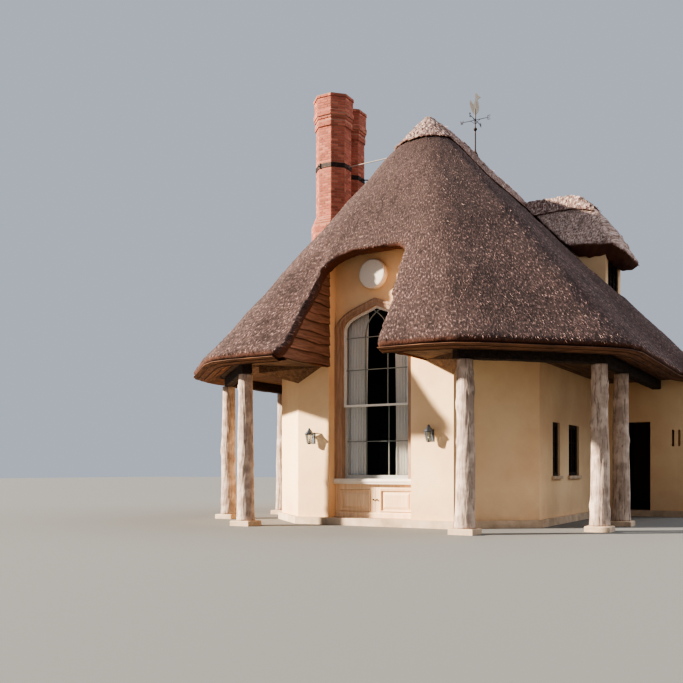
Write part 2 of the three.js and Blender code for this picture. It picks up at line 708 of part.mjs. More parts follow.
// Iron band round both shafts, one octagonal ring each, linked between them
function strap() {
  const high = 110;
  const ring = (at, radius, tall) => {
    const low = strapZ - tall / 2;
    return octagon([[0, low], [radius, low], [radius, low + tall], [0, low + tall]], at);
  };
  const outer = shaftRadius + strapThick;
  const linkX = (frontShaft.x + rearShaft.x) / 2;
  const link = box(
    linkX - 30, linkX + 30, frontShaft.y + outer * flat - 5, rearShaft.y - outer * flat + 5,
    strapZ - high / 2, strapZ + high / 2);
  const bands = joined(ring(frontShaft, outer, high), ring(rearShaft, outer, high), link);
  const inner = shaftRadius + gap;
  return less(bands, ring(frontShaft, inner, high * 2), ring(rearShaft, inner, high * 2));
}

// A rod from a shaft's band to the roof, cut flush at the band and at the thatch
function stay({ x, y }, endX, endZ) {
  const start = x + (shaftRadius + strapThick) * flat + gap;
  const bandSpace = box(-far, start, -far, far, 0, far);
  const rod = bar([start - 30, y, strapZ], [endX, y, endZ], stayRadius);
  return largest(less(rod, ridgeCapSpace(), overRoof, bandSpace));
}

function buildChimney() {
  place('chimney_base', stackBody(0), redBrick);
  place('chimney_shaft_front', shaft(frontShaft), redBrick);
  place('chimney_shaft_rear', shaft(rearShaft), redBrick);
  place('chimney_strap', strap(), ironwork);
  place('chimney_stay_front', stay(frontShaft, -40, 8930), ironwork);
  place('chimney_stay_rear', stay(rearShaft, -300, 8330), ironwork);
}

// The biggest of a body's separate parts
function largest(body) {
  return body.decompose().sort((a, b) => b.volume() - a.volume())[0];
}

// Weathervane: a fixed mast with four arms, and a turning plate in the shape of a bird
function mast() {
  const pole = joined(
    bar([0, vaneY, 9100], [0, vaneY, 9960], 17, 12),
    bar([0, vaneY, 9900], [0, vaneY, armsZ + 20], 12, 12),
    bar([0, vaneY, armsZ], [0, vaneY, 10450], 7, 16));
  const ball = solid(new THREE.IcosahedronGeometry(48, 2)).translate([0, vaneY, 9950]);
  const reach = 375;
  const arms = joined(
    bar([-reach, vaneY, armsZ], [reach, vaneY, armsZ], 7),
    bar([0, vaneY - reach, armsZ], [0, vaneY + reach, armsZ], 7));
  const plate = 42;
  const ends = [[-reach, 0], [reach, 0], [0, -reach], [0, reach]].map(([dx, dy]) => (
    box(dx - (dx ? plate : 4), dx + (dx ? plate : 4), vaneY + dy - (dy ? plate : 4),
      vaneY + dy + (dy ? plate : 4), armsZ - plate, armsZ + plate)));
  const collar = turned([[0, 9000], [70, 9000], [70, 9330], [24, 9400], [0, 9400]], 0, vaneY, 12);
  return less(joined(pole, ball, arms, collar, ...ends), ridgeCapSpace(), overRoof);
}

function birdShape() {
  const shape = new THREE.Shape();
  shape.moveTo(-20, 10330);
  shape.lineTo(20, 10330);
  shape.quadraticCurveTo(110, 10400, 100, 10520);
  shape.quadraticCurveTo(92, 10610, 60, 10680);
  shape.quadraticCurveTo(75, 10740, 150, 10745);
  shape.quadraticCurveTo(115, 10790, 80, 10800);
  shape.quadraticCurveTo(60, 10860, 10, 10885);
  shape.quadraticCurveTo(-10, 10840, 0, 10770);
  shape.quadraticCurveTo(-10, 10640, -50, 10600);
  shape.quadraticCurveTo(-90, 10700, -150, 10740);
  shape.quadraticCurveTo(-165, 10600, -120, 10500);
  shape.quadraticCurveTo(-90, 10400, -20, 10330);
  return shape;
}

function vaneFigure() {
  const plate = upright(birdShape(), vaneY - 6, vaneY + 6, 5);
  const sleeve = turned([[0, 10225], [17, 10225], [17, 10470], [0, 10490]], 0, vaneY, 16);
  const bore = turned([[0, 10100], [9, 10100], [9, 10450 + gap], [0, 10450 + gap]], 0, vaneY, 16);
  return less(joined(plate, sleeve), bore);
}

// Wall lantern beside the window: wall plate, arm, tapered body and pitched cap
function lantern(x) {
  const y = frontY - 150;
  const z = 1660;
  const body = turned([
    [0, z], [40, z], [52, z + 22], [46, z + 30], [74, z + 200], [104, z + 208], [60, z + 262], [34, z + 300],
    [22, z + 306], [26, z + 330], [0, z + 345]], x, y, 6, Math.PI / 6);
  const plate = box(x - 45, x + 45, frontY - 14, frontY - gap, z + 20, z + 250);
  const arm = box(x - 11, x + 11, y, frontY - 8, z + 214, z + 238);
  return joined(body, plate, arm);
}

buildBase();
buildWalls();
buildWindow();
buildSideGlass();
buildVeranda();
buildRoof();
buildDormer();
buildChimney();
place('vane_mast', mast(), ironwork);
place('vane_figure', vaneFigure(), ironwork);
place('lantern_left', lantern(-1395), lanternMetal);
place('lantern_right', lantern(1310), lanternMetal);

export default cottage;
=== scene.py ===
import math

import bmesh
import bpy
import numpy as np
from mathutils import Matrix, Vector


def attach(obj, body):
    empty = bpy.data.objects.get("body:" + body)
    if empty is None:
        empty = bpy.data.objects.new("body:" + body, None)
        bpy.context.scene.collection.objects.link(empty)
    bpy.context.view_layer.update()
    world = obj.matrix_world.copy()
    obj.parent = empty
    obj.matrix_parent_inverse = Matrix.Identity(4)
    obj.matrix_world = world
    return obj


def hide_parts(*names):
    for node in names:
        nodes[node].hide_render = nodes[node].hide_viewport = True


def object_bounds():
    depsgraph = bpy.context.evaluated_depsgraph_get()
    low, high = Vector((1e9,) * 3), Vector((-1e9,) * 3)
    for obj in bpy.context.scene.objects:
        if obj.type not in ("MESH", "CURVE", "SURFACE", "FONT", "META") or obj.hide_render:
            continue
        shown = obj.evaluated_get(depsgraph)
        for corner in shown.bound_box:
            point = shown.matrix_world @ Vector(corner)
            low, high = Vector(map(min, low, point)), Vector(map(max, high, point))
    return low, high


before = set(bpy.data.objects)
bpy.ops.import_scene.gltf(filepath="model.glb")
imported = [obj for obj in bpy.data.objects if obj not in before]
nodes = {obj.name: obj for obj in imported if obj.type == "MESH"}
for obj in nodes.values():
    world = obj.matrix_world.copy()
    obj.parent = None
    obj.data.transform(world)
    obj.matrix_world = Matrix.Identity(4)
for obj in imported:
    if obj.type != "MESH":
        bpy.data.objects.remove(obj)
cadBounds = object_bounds()
print("frame loaded:", len(nodes), "nodes")


# Camera at the photograph's place: chest height, in front and to the right of the window
cameraSetup = {"place": (8.04, -17.84, 1.13), "turn": 30.1, "lens": 44.8, "sensor": 36, "rise": 0.188}
camera = bpy.data.objects.new("camera", bpy.data.cameras.new("camera"))
bpy.context.scene.collection.objects.link(camera)
camera.location = cameraSetup["place"]
camera.rotation_euler = (math.radians(90), 0, math.radians(cameraSetup["turn"]))
camera.data.lens = cameraSetup["lens"]
camera.data.sensor_width = cameraSetup["sensor"]
camera.data.shift_y = cameraSetup["rise"]
camera.data.clip_end = 400
bpy.context.scene.camera = camera


# Light: a key low on the left as in the photograph, a soft fill from behind on the right, a pale surround
studio = {
    "keyTilt": 66.5, "keyTurn": -54, "keyPower": 10.5, "keySoftness": 2.5, "keyTint": (1.0, 0.92, 0.80),
    "fillTilt": 44, "fillTurn": 127, "fillPower": 1.3, "fillSoftness": 50, "fillTint": (0.96, 0.97, 1.0),
    "surround": (0.80, 0.88, 1.0, 1), "surroundPower": 0.46, "floorHalf": 90.0, "floor": "#7b7975",
    "look": "AgX - High Contrast",
}
for lamp in ("key", "fill"):
    light = bpy.data.objects.new(lamp, bpy.data.lights.new(lamp, "SUN"))
    light.rotation_euler = (math.radians(studio[lamp + "Tilt"]), 0, math.radians(studio[lamp + "Turn"]))
    light.data.energy = studio[lamp + "Power"]
    light.data.angle = math.radians(studio[lamp + "Softness"])
    light.data.color = studio[lamp + "Tint"]
    bpy.context.scene.collection.objects.link(light)
world = bpy.data.worlds.new("surround")
world.use_nodes = True
world.node_tree.nodes["Background"].inputs["Color"].default_value = studio["surround"]
world.node_tree.nodes["Background"].inputs["Strength"].default_value = studio["surroundPower"]
bpy.context.scene.world = world
bpy.context.scene.view_settings.look = studio["look"]


# Adds one node, with its settings (properties or socket values) and its links
def add(tree, kind, settings=None, links=None):
    node = tree.nodes.new(kind)
    for key, value in (settings or {}).items():
        if isinstance(key, str) and hasattr(node, key):
            setattr(node, key, value)
        else:
            node.inputs[key].default_value = value
    for key, socket in (links or {}).items():
        tree.links.new(socket, node.inputs[key])
    return node


# An sRGB hex colour as the linear values that Blender uses
def linear(hexColour):
    parts = np.array([int(hexColour[i:i + 2], 16) for i in (1, 3, 5)]) / 255
    return (*np.where(parts > 0.04045, ((parts + 0.055) / 1.055) ** 2.4, parts / 12.92), 1.0)


# A material with its shader's own values set
def finish(name, colour, roughness, metallic=0.0, **values):
    material = bpy.data.materials.new(name)
    material.use_nodes = True
    shader = material.node_tree.nodes["Principled BSDF"]
    shader.inputs["Base Color"].default_value = linear(colour)
    shader.inputs["Roughness"].default_value = roughness
    shader.inputs["Metallic"].default_value = metallic
    for key, value in values.items():
        shader.inputs[key].default_value = value
    return material, material.node_tree, shader


# Gives carried-over CAD nodes a material
def dress(material, *names):
    for name in names:
        mesh = nodes[name].data
        mesh.materials.clear()
        mesh.materials.append(material)


# Corners and faces become one mesh that rides on a body. Faces are arrays of 3 or 4 corner numbers.
# Values is a dictionary of one number per corner, kept as attributes for the materials, and flow is a map of
# two numbers per corner.
def newPiece(name, corners, faces, material, slot, body="root", smooth=False, flow=None, values=None,
             outward=False):
    groups = faces if isinstance(faces, list) else [faces]
    loops = np.concatenate([group.ravel() for group in groups]).astype(np.int32)
    counts = np.concatenate([np.full(len(group), group.shape[1]) for group in groups])
    mesh = bpy.data.meshes.new(name)
    mesh.vertices.add(len(corners))
    mesh.vertices.foreach_set("co", np.asarray(corners, np.float32).ravel())
    mesh.loops.add(len(loops))
    mesh.loops.foreach_set("vertex_index", loops)
    mesh.polygons.add(len(counts))
    mesh.polygons.foreach_set("loop_start", np.concatenate([[0], np.cumsum(counts)[:-1]]).astype(np.int32))
    mesh.update(calc_edges=True)
    mesh.validate()
    for key, numbers in (values or {}).items():
        mesh.attributes.new(key, "FLOAT", "POINT").data.foreach_set("value", np.asarray(numbers, np.float32))
    if flow is not None:
        layer = mesh.uv_layers.new(name="flow")
        layer.data.foreach_set("uv", np.asarray(flow, np.float32)[loops].ravel())
    if outward:
        pointOutward(mesh)
    mesh.polygons.foreach_set("use_smooth", np.full(len(mesh.polygons), smooth))
    mesh.materials.append(material)
    made = bpy.data.objects.new(name, mesh)
    bpy.context.scene.collection.objects.link(made)
    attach(made, body)
    return made


def pointOutward(mesh):
    work = bmesh.new()
    work.from_mesh(mesh)
    bmesh.ops.recalc_face_normals(work, faces=work.faces)
    work.to_mesh(mesh)
    work.free()


# Quads between the rows and columns of a grid of corners, closed round on itself where asked
def gridFaces(rows, columns, aroundRows=False, aroundColumns=False):
    i = np.arange(rows if aroundRows else rows - 1)[:, None]
    j = np.arange(columns if aroundColumns else columns - 1)[None, :]
    nextRow = (i + 1) % rows
    nextColumn = (j + 1) % columns
    quads = np.stack([i * columns + j, i * columns + nextColumn, nextRow * columns + nextColumn,
                      nextRow * columns + j], -1)
    return quads.reshape(-1, 4)


# The direction of a path at each of its points, of length one
def headings(path):
    along = np.gradient(path, axis=0)
    return along / np.linalg.norm(along, axis=1)[:, None]


# Rings of corners as a tube, closed at both ends by fans round two end points
def closedTube(grid, ends):
    rows, columns = grid.shape[:2]
    j = np.arange(columns)
    k = (j + 1) % columns
    last = (rows - 1) * columns
    fans = np.concatenate([np.stack([k, j, np.full(columns, rows * columns)], -1),
                           np.stack([last + j, last + k, np.full(columns, rows * columns + 1)], -1)])
    return np.concatenate([grid.reshape(-1, 3), ends]), [gridFaces(rows, columns, False, True), fans]


# Rings of corners as a long board, each end closed by triangles from the ring's first corner
def closedBoard(grid):
    rows, columns = grid.shape[:2]
    caps = np.array([[0, i, i + 1] for i in range(1, columns - 1)])
    ends = np.concatenate([caps, caps[:, ::-1] + (rows - 1) * columns])
    return grid.reshape(-1, 3), [gridFaces(rows, columns, False, True), ends]


# Carries a closed profile along a path: corner = path point + side * first number + up * second number.
# The two ends are closed round their middles, unless the path itself is a ring.
def carried(path, side, up, profile, ring=False):
    path, profile = np.asarray(path, float), np.asarray(profile, float)
    side = np.broadcast_to(np.asarray(side, float), path.shape)
    up = np.broadcast_to(np.asarray(up, float), path.shape)
    if profile.ndim == 2:
        profile = np.broadcast_to(profile, (len(path), *profile.shape))
    grid = path[:, None] + side[:, None] * profile[..., :1] + up[:, None] * profile[..., 1:]
    if ring:
        return grid.reshape(-1, 3), [gridFaces(*grid.shape[:2], True, True)]
    return closedTube(grid, [grid[0].mean(0), grid[-1].mean(0)])


# Several shapes of corners and faces put together as one
def together(shapes):
    shapes = list(shapes)
    firsts = np.cumsum([0] + [len(corners) for corners, _ in shapes[:-1]])
    groups = {}
    for first, (_, faces) in zip(firsts, shapes):
        for group in (faces if isinstance(faces, list) else [faces]):
            groups.setdefault(group.shape[1], []).append(group + first)
    return np.concatenate([corners for corners, _ in shapes]), [np.concatenate(g) for g in groups.values()]


# Many cuboids as one shape: middles, half sizes and, where they are turned, three axes for each
def cuboids(middles, halves, axes=None):
    middles = np.atleast_2d(np.asarray(middles, float))
    halves = np.broadcast_to(np.asarray(halves, float), middles.shape)
    axes = np.broadcast_to(np.eye(3) if axes is None else np.asarray(axes, float), (len(middles), 3, 3))
    signs = np.array([[x, y, z] for z in (-1, 1) for y in (-1, 1) for x in (-1, 1)])
    local = signs[None] * halves[:, None]
    corners = middles[:, None] + np.einsum("nkc,ncd->nkd", local, axes)
    sides = np.array([[0, 2, 3, 1], [4, 5, 7, 6], [0, 1, 5, 4], [2, 6, 7, 3], [0, 4, 6, 2], [1, 3, 7, 5]])
    faces = (np.arange(len(middles))[:, None, None] * 8 + sides[None]).reshape(-1, 4)
    return corners.reshape(-1, 3), faces


# A round bar along a path: a circle carried on two axes that stay at right angles to the path
def rod(path, radius, sides):
    path = np.asarray(path, float)
    along = headings(path)
    start = np.array([0, 0, 1.0]) if abs(along[0][2]) < 0.9 else np.array([1.0, 0, 0])
    side = np.cross(along, start)
    side /= np.linalg.norm(side, axis=1)[:, None]
    up = np.cross(side, along)
    angle = np.linspace(0, 2 * np.pi, sides, endpoint=False)
    circle = np.stack([np.cos(angle), np.sin(angle)], -1)
    widths = np.broadcast_to(np.asarray(radius, float), (len(path),))
    return carried(path, side, up, widths[:, None, None] * circle[None])


# A profile of radius and height turned round an upright axis, closed at both ends on the axis
def turnedShape(profile, middle, sides, twist=0.0):
    profile = np.asarray(profile, float)
    angle = np.linspace(0, 2 * np.pi, sides, endpoint=False) + twist
    x = profile[:, :1] * np.cos(angle)[None]
    y = profile[:, :1] * np.sin(angle)[None]
    z = np.broadcast_to(profile[:, 1:], x.shape)
    corners = np.stack([x, y, z], -1).reshape(-1, 3) + np.asarray(middle, float)
    return corners, [gridFaces(len(profile), sides, False, True)]


# Smooth bumps over a set of points: a few sine waves in seeded directions, from -1 to 1
def waves(points, size, seed, count=7):
    rng = np.random.default_rng(seed)
    direction = rng.normal(size=(count, 3))
    direction /= np.linalg.norm(direction, axis=1)[:, None]
    stretch = rng.uniform(0.7, 1.4, count) * 2 * np.pi / size
    phase = rng.uniform(0, 2 * np.pi, count)
    return np.sin(points @ (direction * stretch[:, None]).T + phase).sum(1) / math.sqrt(count) / 1.5


# The studio's plain floor, which is no part of the cottage
floorSize = studio["floorHalf"]
floorMaterial = finish("pale_studio_floor", studio["floor"], 0.9)[0]
floorMesh = bpy.data.meshes.new("studio_floor")
floorCorners = [(x * floorSize, y * floorSize, 0) for x, y in ((-1, -1), (1, -1), (1, 1), (-1, 1))]
floorMesh.from_pydata(floorCorners, [], [(0, 1, 2, 3)])
floorMesh.materials.append(floorMaterial)
studioFloor = bpy.data.objects.new("studio_floor", floorMesh)
bpy.context.scene.collection.objects.link(studioFloor)


# Object coordinates for a material, in metres
def place(tree):
    return add(tree, "ShaderNodeTexCoord").outputs["Object"]


# Mixes two colours by a factor and returns the result's socket
def blendColour(tree, factor, first, second):
    made = add(tree, "ShaderNodeMix", {"data_type": "RGBA"}, {0: factor})
    for socket, colour in ((6, first), (7, second)):
        if isinstance(colour, str):
            made.inputs[socket].default_value = linear(colour)
        else:
            tree.links.new(colour, made.inputs[socket])
    return made.outputs[2]


# Ends a material: the colour goes to its shader, and the height stands out as a relief
def surface(tree, shader, colour, height, strength, bumpMm):
    tree.links.new(colour, shader.inputs["Base Color"])
    relief = add(tree, "ShaderNodeBump", {"Strength": strength, "Distance": bumpMm / 1000},
                 {"Height": height})
    tree.links.new(relief.outputs[0], shader.inputs["Normal"])


# A finish mottled by one noise, which blends its two colours and stands out as a relief. Where the look has
# an edge, the colours change over that range of the noise only.
def mottled(name, colours, roughness, look, metallic=0.0):
    material, tree, shader = finish(name, colours[0], roughness, metallic)
    spots = add(tree, "ShaderNodeTexNoise", look["noise"], {"Vector": place(tree)}).outputs[0]
    share = spots
    if "edge" in look:
        share = add(tree, "ShaderNodeMapRange", {"From Min": look["edge"][0], "From Max": look["edge"][1]},
                    {"Value": spots}).outputs[0]
    surface(tree, shader, blendColour(tree, share, *colours), spots, look["strength"], look["bumpMm"])
    return material


# Lime render: sand and lime put on by float, washed cream. A fine grain, soft clouds, and splashed dirt at
# the foot of the wall that fades out between two heights.
limeLook = {"base": "#e9c39b", "pale": "#f4d5ac", "damp": "#c6a584", "grainMm": 6, "trowelMm": 180,
            "cloudMm": 1400, "splashFull": 0.15, "splashEnd": 0.75, "splashShare": 0.55}
limeRender, tree, shader = finish("lime_render", limeLook["base"], 0.93)
point = place(tree)
parts = add(tree, "ShaderNodeSeparateXYZ", None, {0: point})
cloud = add(tree, "ShaderNodeTexNoise", {"Scale": 1000 / limeLook["cloudMm"], "Detail": 5.0,
                                         "Roughness": 0.6}, {"Vector": point})
trowel = add(tree, "ShaderNodeTexNoise", {"Scale": 1000 / limeLook["trowelMm"], "Detail": 3.0},
             {"Vector": point})
grain = add(tree, "ShaderNodeTexNoise", {"Scale": 1000 / limeLook["grainMm"] / 3, "Detail": 4.0},
            {"Vector": point})
cloudy = add(tree, "ShaderNodeMapRange", {"From Min": 0.35, "From Max": 0.65}, {"Value": cloud.outputs[0]})
paler = blendColour(tree, cloudy.outputs[0], limeLook["base"], limeLook["pale"])
low = add(tree, "ShaderNodeMapRange", {"From Min": limeLook["splashFull"], "From Max": limeLook["splashEnd"],
                                       "To Min": limeLook["splashShare"], "To Max": 0.0},
          {"Value": parts.outputs["Z"]})
splash = add(tree, "ShaderNodeMath", {"operation": "MULTIPLY"}, {0: low.outputs[0], 1: trowel.outputs[0]})
outdoors = blendColour(tree, splash.outputs[0], paler, limeLook["damp"])
rough = add(tree, "ShaderNodeMath", {"operation": "MULTIPLY_ADD", 1: 0.35},
            {0: grain.outputs[0], 2: trowel.outputs[0]})

# Indoors the same walls are painted dark: painted shade, for rooms without light. Inside means all of these
# at
# once: |x| under the half width of the room, y between the window wall and the rear wall, |x| - y under the
# line of the canted walls, and z under the dormer. Each test is a distance that is negative indoors, so the
# largest of them decides.
paintedRoomShade = {"colour": "#3a2c23", "halfWidth": 2.72, "front": -2.30, "rear": 9.27, "cant": 4.09, "top": 5.30}
wide = add(tree, "ShaderNodeMath", {"operation": "ABSOLUTE"}, {0: parts.outputs["X"]}).outputs[0]
spread = add(tree, "ShaderNodeMath", {"operation": "SUBTRACT"}, {0: wide, 1: parts.outputs["Y"]}).outputs[0]
largest = add(tree, "ShaderNodeMath", {"operation": "SUBTRACT", 0: paintedRoomShade["front"]},
              {1: parts.outputs["Y"]}).outputs[0]
limits = {"halfWidth": wide, "cant": spread, "rear": parts.outputs["Y"], "top": parts.outputs["Z"]}
for limit, measure in limits.items():
    past = add(tree, "ShaderNodeMath", {"operation": "SUBTRACT", 1: paintedRoomShade[limit]}, {0: measure}).outputs[0]
    largest = add(tree, "ShaderNodeMath", {"operation": "MAXIMUM"}, {0: largest, 1: past}).outputs[0]
# Where this is true, the wall takes the dark colour of the painted shade
indoors = add(tree, "ShaderNodeMath", {"operation": "LESS_THAN", 1: 0.0}, {0: largest}).outputs[0]
surface(tree, shader, blendColour(tree, indoors, outdoors, paintedRoomShade["colour"]), rough.outputs[0], 0.5, 12)

# Limestone: sawn blocks, weathered grey and buff, with fine pits. The sill is limewashed, so it is paler.
stoneLook = {"weatherScale": 2.6, "pitMm": 14, "bumpMm": 6}


def sawnStone(name, base, dark):
    material, tree, shader = finish(name, base, 0.88)
    point = place(tree)
    weather = add(tree, "ShaderNodeTexNoise", {"Scale": stoneLook["weatherScale"], "Detail": 8.0,
                                               "Roughness": 0.65}, {"Vector": point})
    pits = add(tree, "ShaderNodeTexNoise", {"Scale": 1000 / stoneLook["pitMm"] / 3, "Detail": 4.0},
               {"Vector": point})
    shade = add(tree, "ShaderNodeMapRange", {"From Min": 0.3, "From Max": 0.72},
                {"Value": weather.outputs[0]})
    colour = blendColour(tree, shade.outputs[0], base, dark)
    surface(tree, shader, colour, pits.outputs[0], 0.5, stoneLook["bumpMm"])
    return material


limestone = sawnStone("limestone", "#dcc3a9", "#ab937b")
paleSill = sawnStone("limewashed_stone", "#f2e8da", "#dccdb8")

# Stone flags indoors: worn smooth, with grey joints
flagLook = {"pale": "#9a8a72", "dark": "#857661", "joint": "#5c5348", "flagMm": 600, "jointMm": 8}
stoneFlags, tree, shader = finish("stone_flags", flagLook["pale"], 0.6)
flags = add(tree, "ShaderNodeTexBrick", {
    "Scale": 1.0, "Mortar Size": flagLook["jointMm"] / 1000, "Brick Width": flagLook["flagMm"] / 1000,
    "Row Height": flagLook["flagMm"] / 1000, "Color1": linear(flagLook["pale"]),
    "Color2": linear(flagLook["dark"]), "Mortar": linear(flagLook["joint"]),
}, {"Vector": place(tree)})
tree.links.new(flags.outputs["Color"], shader.inputs["Base Color"])

# Gypsum plaster moulding, painted white and left matt
plasterLook = {"noise": {"Scale": 60.0, "Detail": 6.0}, "strength": 0.3, "bumpMm": 3}
whitePlaster = mottled("white_plaster", ("#f3eadd", "#d2c3b1"), 0.85, plasterLook)

# Oil paint on planed wood, with brush marks and a soft sheen
paintLook = {"noise": {"Scale": 22.0, "Detail": 4.0}, "strength": 0.2, "bumpMm": 1}
whitePaint = mottled("white_oil_paint", ("#f2eee6", "#d9d3c5"), 0.38, paintLook)
# The glazing bars belong to the white-painted sashes but take a grey copy of that paint: painted shade, for
# thin bars that read dark
shadedBarPaint = mottled("shaded_white_oil_paint", ("#a3a59c", "#7f8179"), 0.38, paintLook)

# Lime mortar between the bricks: gritty, brushed back, and dulled by smoke
mortarLook = {"noise": {"Scale": 70.0, "Detail": 6.0}, "strength": 0.6, "bumpMm": 5}
limeMortar = mottled("lime_mortar", ("#96705f", "#b28d7b"), 0.95, mortarLook)

# Forged iron and other metalwork: hammered, with spots of rust or dull bloom breaking through
metalLook = {"noise": {"Scale": 1000 / 25 / 3, "Detail": 7.0, "Roughness": 0.7}, "edge": (0.5, 0.68),
             "strength": 0.4, "bumpMm": 2}
forgedIron = mottled("forged_iron", ("#37302d", "#6b4230"), 0.6, metalLook, 0.7)
paleRod = mottled("galvanised_steel", ("#b9aea4", "#8f8378"), 0.5, metalLook, 0.6)
vaneMetal = mottled("vane_sheet_iron", ("#565250", "#5a5552"), 0.55, metalLook, 0.4)
leadGrey = mottled("lantern_lead_grey", ("#6f7378", "#4d5054"), 0.5, metalLook, 0.6)


# Sawn and planed timber: grain drawn as noise stretched along one axis, growth rings a few millimetres apart.
# Boards that run round the house keep their grain along X of the piece's own flow map. Lapped boards carry a
# tone at each corner that paints shade: 0 in the shadow of the board above, painted dark, 1 on the open face.
# The colour of the painted shade at a lap, under the board above
paintedLapShade = "#1d130e"


def timber(name, light, dark, roughness, along, ringMm, stretch, bumpMm, coat=0.0, mapped=False,
           lapped=False):
    material, tree, shader = finish(name, light, roughness, **{"Coat Weight": coat})
    across = 1000 / ringMm / 4
    scale = [across] * 3
    scale["XYZ".index(along)] = across / stretch
    point = add(tree, "ShaderNodeUVMap", {"uv_map": "flow"}).outputs[0] if mapped else place(tree)
    turned = add(tree, "ShaderNodeMapping", {"Scale": scale}, {"Vector": point})
    rings = add(tree, "ShaderNodeTexNoise", {"Scale": 1.0, "Detail": 7.0, "Roughness": 0.62,
                                             "Distortion": 0.7}, {"Vector": turned.outputs[0]})
    streak = add(tree, "ShaderNodeMapRange", {"From Min": 0.34, "From Max": 0.66},
                 {"Value": rings.outputs[0]})
    colour = blendColour(tree, streak.outputs[0], dark, light)
    # Lapped boards are darkened by their tone: painted shade under the board above
    if lapped:
        tone = add(tree, "ShaderNodeAttribute", {"attribute_name": "tone"}).outputs["Fac"]
        colour = blendColour(tree, tone, paintedLapShade, colour)
    surface(tree, shader, colour, streak.outputs[0], 0.6, bumpMm)
    return material


mouldedWood = timber("stained_moulded_wood", "#c29f84", "#9c795f", 0.5, "Z", 7, 20, 1, 0.15)
creamBoards = timber("cream_painted_wood", "#f1d3b2", "#e2bd96", 0.55, "Z", 10, 18, 0.6, 0.1)
darkOak = timber("weathered_oak", "#4a3b32", "#251d19", 0.85, "Y", 12, 12, 5)
ceilingBoards = timber("ceiling_boards", "#92745c", "#5f483a", 0.8, "Y", 10, 16, 1.5)
elmBoards = timber("waney_elm_boards", "#a5643c", "#683a22", 0.82, "Y", 13, 10, 4)
waneyBoards = timber("lapped_waney_boards", "#a87f6a", "#7b5847", 0.85, "Y", 11, 12, 4, lapped=True)
eaveBoards = timber("eave_boards", "#94694d", "#5a3d2c", 0.85, "X", 12, 10, 3, mapped=True, lapped=True)

# Drawn sheet glass: nearly flat, a little wavy. It lets most light through and shines at a slant.
sheetGlass, tree, shader = finish("drawn_glass", "#0e1213", 0.03,
                                  **{"IOR": 1.5, "Specular IOR Level": 1.0})
slant = add(tree, "ShaderNodeLayerWeight", {"Blend": 0.35})
solid = add(tree, "ShaderNodeMapRange", {"To Min": 0.04, "To Max": 0.35}, {"Value": slant.outputs["Facing"]})
tree.links.new(solid.outputs[0], shader.inputs["Alpha"])
sway = add(tree, "ShaderNodeTexNoise", {"Scale": 1.3, "Detail": 1.0}, {"Vector": place(tree)})
relief = add(tree, "ShaderNodeBump", {"Strength": 0.15, "Distance": 0.02}, {"Height": sway.outputs[0]})
tree.links.new(relief.outputs[0], shader.inputs["Normal"])

# Panes of the small windows, dark from the unlit rooms behind them
roomGlass = finish("dark_room_glass", "#0c0f12", 0.06, **{"Specular IOR Level": 0.8})[0]

# Fired clay bricks, hand-made: each brick has its own shade, with a sandy face and dark flashes
brickLook = {"warm": "#a9584a", "pale": "#bd7562", "dark": "#8a4538", "sand": "#d8a184", "sandMm": 5,
             "sandShare": 0.35}
redBrick, tree, shader = finish("handmade_brick", brickLook["warm"], 0.9)
tone = add(tree, "ShaderNodeAttribute", {"attribute_name": "tone"}).outputs["Fac"]
sand = add(tree, "ShaderNodeTexNoise", {"Scale": 1000 / brickLook["sandMm"] / 3, "Detail": 5.0},
           {"Vector": place(tree)})
low = add(tree, "ShaderNodeMapRange", {"From Min": 0.0, "From Max": 0.55}, {"Value": tone})
high = add(tree, "ShaderNodeMapRange", {"From Min": 0.6, "From Max": 1.0}, {"Value": tone})
darker = blendColour(tree, low.outputs[0], brickLook["dark"], brickLook["warm"])
paler = blendColour(tree, high.outputs[0], darker, brickLook["pale"])
sandy = add(tree, "ShaderNodeMath", {"operation": "MULTIPLY", 1: brickLook["sandShare"]},
            {0: sand.outputs[0]})
surface(tree, shader, blendColour(tree, sandy.outputs[0], paler, brickLook["sand"]), sand.outputs[0], 0.5, 4)

# Tree bark of the posts: long grey-brown furrows down the trunk, pale where it is worn
barkLook = {"pale": "#cfb9a9", "mid": "#b09a8b", "dark": "#7b685c", "furrowMm": 15, "stretch": 8}
bark, tree, shader = finish("weathered_trunk", barkLook["mid"], 0.95)
point = place(tree)
scale = 1000 / barkLook["furrowMm"] / 2.2
turned = add(tree, "ShaderNodeMapping", {"Scale": (scale, scale, scale / barkLook["stretch"])},
             {"Vector": point})
furrows = add(tree, "ShaderNodeTexNoise", {"Scale": 1.0, "Detail": 6.0, "Roughness": 0.6, "Distortion": 0.8},
              {"Vector": turned.outputs[0]})
blotch = add(tree, "ShaderNodeTexNoise", {"Scale": 5.0, "Detail": 4.0}, {"Vector": point})
deep = add(tree, "ShaderNodeMapRange", {"From Min": 0.30, "From Max": 0.48}, {"Value": furrows.outputs[0]})
worn = add(tree, "ShaderNodeMapRange", {"From Min": 0.42, "From Max": 0.62}, {"Value": blotch.outputs[0]})
face = blendColour(tree, worn.outputs[0], barkLook["mid"], barkLook["pale"])
colour = blendColour(tree, deep.outputs[0], barkLook["dark"], face)
surface(tree, shader, colour, furrows.outputs[0], 0.9, 12)


